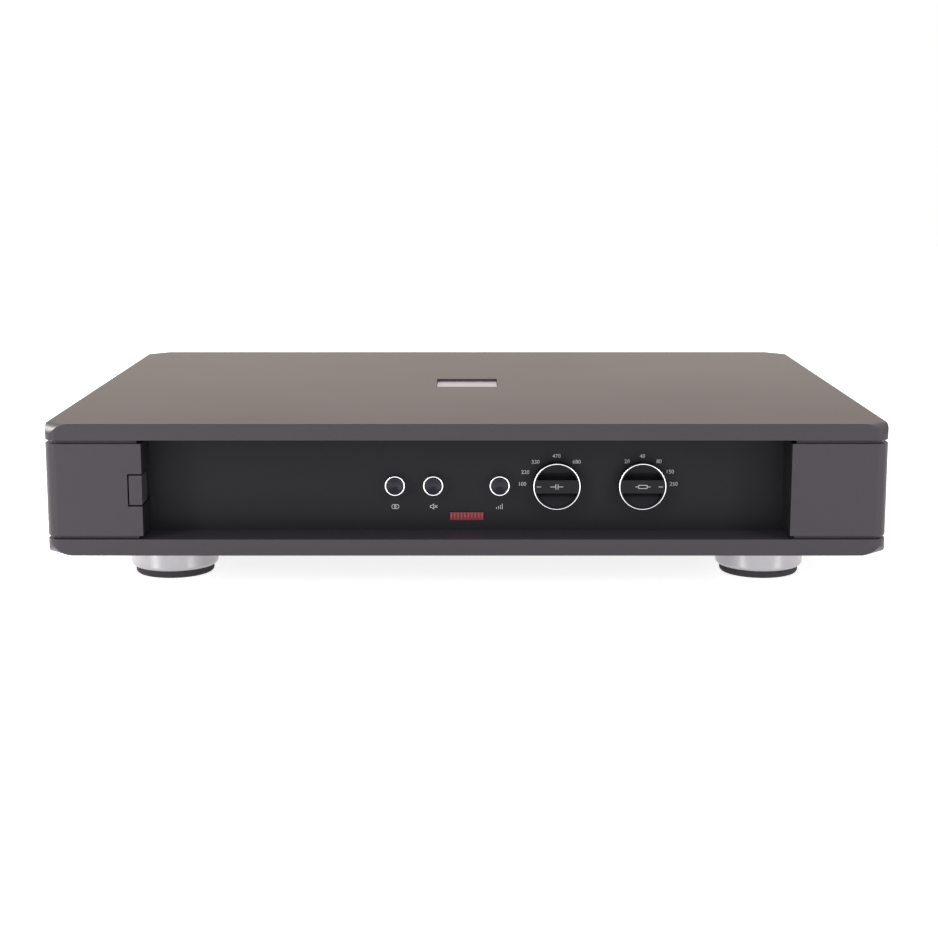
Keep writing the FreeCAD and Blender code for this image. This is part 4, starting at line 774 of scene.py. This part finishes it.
def stroke(points, width, spot, layer=0):
    """A drawn line with mitred corners, in millimetres around a spot, that faces the front."""
    flat = [Vector(point) for point in points]
    closed = (flat[0] - flat[-1]).length < SAME_SPOT
    if closed:
        flat = flat[:-1]
    count = len(flat)
    height = -INK / 2 - layer * INK / 4
    shape = bmesh.new()
    rows = []
    for index, point in enumerate(flat):
        ways = []
        if closed or index > 0:
            ways.append((point - flat[index - 1]).normalized())
        if closed or index < count - 1:
            ways.append((flat[(index + 1) % count] - point).normalized())
        along = sum(ways, Vector((0, 0))).normalized()
        side = Vector((-along.y, along.x)) * width / 2 / max(LONGEST_MITRE, along.dot(ways[0]))
        end_shift = Vector((0, 0))
        if len(ways) == 1:
            end_shift = ways[0] * width / 2 * (-1 if index == 0 else 1)
        rows.append([shape.verts.new(Vector((edge.x, height, edge.y)) * MM + spot)
                     for edge in (point + end_shift - side, point + end_shift + side)])
    pairs = list(zip(rows, rows[1:])) + ([(rows[-1], rows[0])] if closed else [])
    for first, second in pairs:
        shape.faces.new((first[0], second[0], second[1], first[1]))
    mesh = bpy.data.meshes.new("stroke")
    shape.to_mesh(mesh)
    shape.free()
    return mesh


def merge(name, meshes):
    """Several meshes as one."""
    shape = bmesh.new()
    for mesh in meshes:
        shape.from_mesh(mesh)
        bpy.data.meshes.remove(mesh)
    mesh = bpy.data.meshes.new(name)
    shape.to_mesh(mesh)
    shape.free()
    return mesh



# %% [markdown]
# The numbers are plain ones. Each has its place in millimetres from the middle of its
# knob, across and up.

# %% Scales around the knobs
DIGIT = 2.1
SCALES = {
    "left": (("100", -17.9, 0.2), ("220", -16.3, 6.5), ("330", -11.0, 11.9), ("470", 0.0, 15.0),
             ("680", 10.5, 12.0)),
    "right": (("20", -7.8, 12.2), ("40", 0.2, 15.0), ("80", 8.9, 12.2), ("150", 14.7, 6.7),
              ("250", 16.8, 0.2)),
}
print_y = panel_face - INK * MM
for side, marks in SCALES.items():
    centre = middle(side + "_knob_shaft")
    words = [flat_text(number, DIGIT, Vector((centre.x + across * MM, print_y, centre.z + up * MM)))
             for number, across, up in marks]
    lay_ink(side + "_scale_print", merge(side + "_scale", words), "case")
    print(side, "scale:", [number for number, across, up in marks])

# %% Pictures under the buttons: two joined rings, a struck speaker and rising bars
PICTURE_DROP = 11.8 * MM
LINE = 0.32


def drawn(name, lines, place):
    """Several strokes as one mesh, each a hair above the last."""
    return merge(name, [stroke(points, LINE, place, layer) for layer, points in enumerate(lines)])


icons = {
    "mono_button": [arc((-0.7, 0), 1.15, 0, 360, 20), arc((0.7, 0), 1.15, 0, 360, 20)],
    "mute_button": [[(-1.6, -0.55), (-1.6, 0.55), (-0.8, 0.55), (0.2, 1.3), (0.2, -1.3), (-0.8, -0.55),
                     (-1.6, -0.55)], [(0.8, -0.6), (2.0, 0.6)], [(0.8, 0.6), (2.0, -0.6)]],
    "gain_button": [[(x, -1.2), (x, top)] for x, top in ((-1.5, -0.5), (-0.5, 0.1), (0.5, 0.7), (1.5, 1.3))],
}
for node, lines in icons.items():
    spot = middle(node)
    place = Vector((spot.x, print_y, spot.z - PICTURE_DROP))
    lay_ink(node + "_picture", drawn(node + "_icon", lines, place), "case")
print("pictures:", len(icons))

# %% Signs on the knobs: a capacitor and a resistor, each with its pointer dash
DASH_START, DASH_END = 8.4, 10.4
signs = {
    "left": (-1, [[(-3.2, 0), (-0.6, 0)], [(-0.6, -1.3), (-0.6, 1.3)], [(0.6, -1.3), (0.6, 1.3)],
                  [(0.6, 0), (3.2, 0)]]),
    "right": (1, [[(-3.8, 0), (-2.2, 0)],
                  [(-2.2, -0.85), (2.2, -0.85), (2.2, 0.85), (-2.2, 0.85), (-2.2, -0.85)],
                  [(2.2, 0), (3.8, 0)]]),
}
for side, (way, lines) in signs.items():
    spot = middle(side + "_knob_shaft")
    place = Vector((spot.x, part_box(side + "_knob")[0].y - INK * MM, spot.z))
    dash = [(way * DASH_START, 0), (way * DASH_END, 0)]
    lay_ink(side + "_knob_print", drawn(side + "_sign", lines + [dash], place), side + "_knob")
print("signs:", len(signs))

# %% [markdown]
# The pilot lens is a dark red bar with a row of thin clear ribs, lit by lamps behind it.
# A lit texture could show the ribs, but real bars keep their shape from every side. The
# glow itself is a material that is brighter in some places than in others.

# %% Pilot glow
GLOW_SCALE = 260.0
GLOW_STRENGTH = 0.5

glow = bpy.data.materials.new("pilot_glow")
glow.use_nodes = True
glow_tree = glow.node_tree
glow_shader = glow_tree.nodes["Principled BSDF"]
glow_spot = glow_tree.nodes.new("ShaderNodeTexCoord").outputs["Object"]
glow_noise = add_node(glow_tree, "ShaderNodeTexNoise", Vector=glow_spot, Scale=GLOW_SCALE, Detail=1.0)
glow_ramp = glow_tree.nodes.new("ShaderNodeValToRGB")
glow_ramp.color_ramp.elements[0].color = (0.30, 0.006, 0.016, 1)
glow_ramp.color_ramp.elements[1].color = (0.62, 0.016, 0.045, 1)
glow_tree.links.new(glow_noise.outputs["Fac"], glow_ramp.inputs["Fac"])
glow_tree.links.new(glow_ramp.outputs["Color"], glow_shader.inputs["Emission Color"])
glow_shader.inputs["Emission Strength"].default_value = GLOW_STRENGTH
glow_shader.inputs["Base Color"].default_value = (0.25, 0.01, 0.02, 1)
glow_shader.inputs["Roughness"].default_value = 0.25
finishes["pilot_glow"] = glow
print("glow strength:", GLOW_STRENGTH)

# %% Pilot lens
RIBS = 10
RIB_WIDTH = 0.36
RIB_DEPTH = 0.6
RIB_EDGE = 0.2

lens_low, lens_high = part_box("pilot_lens")
rounded_copy("pilot_lens", 0.2)


def rounded_bar(centre, width, height, depth, radius):
    """A small bar with rounded edges, as a mesh."""
    shape = bmesh.new()
    bmesh.ops.create_cube(shape, size=1)
    bmesh.ops.scale(shape, vec=Vector((width, depth, height)) * MM, verts=shape.verts)
    bmesh.ops.bevel(shape, geom=shape.edges[:], offset=radius * MM, segments=3, profile=0.5,
                    affect="EDGES")
    bmesh.ops.translate(shape, vec=centre, verts=shape.verts)
    mesh = bpy.data.meshes.new("bar")
    shape.to_mesh(mesh)
    shape.free()
    return mesh


rib_pitch = (lens_high.x - lens_low.x) / RIBS
rib_height = (lens_high.z - lens_low.z) / MM - 0.6
ribs = []
for count in range(RIBS):
    x = lens_low.x + (count + 0.5) * rib_pitch
    centre = Vector((x, lens_low.y + 0.1 * MM, (lens_low.z + lens_high.z) / 2))
    ribs.append(rounded_bar(centre, rib_pitch / MM * RIB_WIDTH, rib_height, RIB_DEPTH, RIB_EDGE))
rib_mesh = merge("pilot_ribs", ribs)
shade(rib_mesh, 50)
rib_piece = bpy.data.objects.new("pilot_ribs", rib_mesh)
scene.collection.objects.link(rib_piece)
rib_mesh.materials.append(finishes["pilot_glow"])
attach(rib_piece, "case")
print("ribs:", RIBS, "at", round(rib_pitch / MM, 2), "mm")

# %% [markdown]
# The rear sockets are moulded and pressed pieces with small edge roundings. The round
# metal ones also carry lathe rings, so each of their points gets its distance from the
# middle of its node.

# %% Sockets
REARWARD = Vector((0, 1, 0))

for node in ("left_xlr_input", "right_xlr_input", "left_xlr_output", "right_xlr_output", "mains_inlet",
             "fuse_drawer", "left_xlr_latch", "right_xlr_latch", "rear_panel"):
    rounded_copy(node, 0.2)
for node in ("ground_post", "ground_washer", "ground_nut", "rca_inputs", "rca_outputs"):
    mark_radius(rounded_copy(node, 0.15), middle(node), REARWARD)
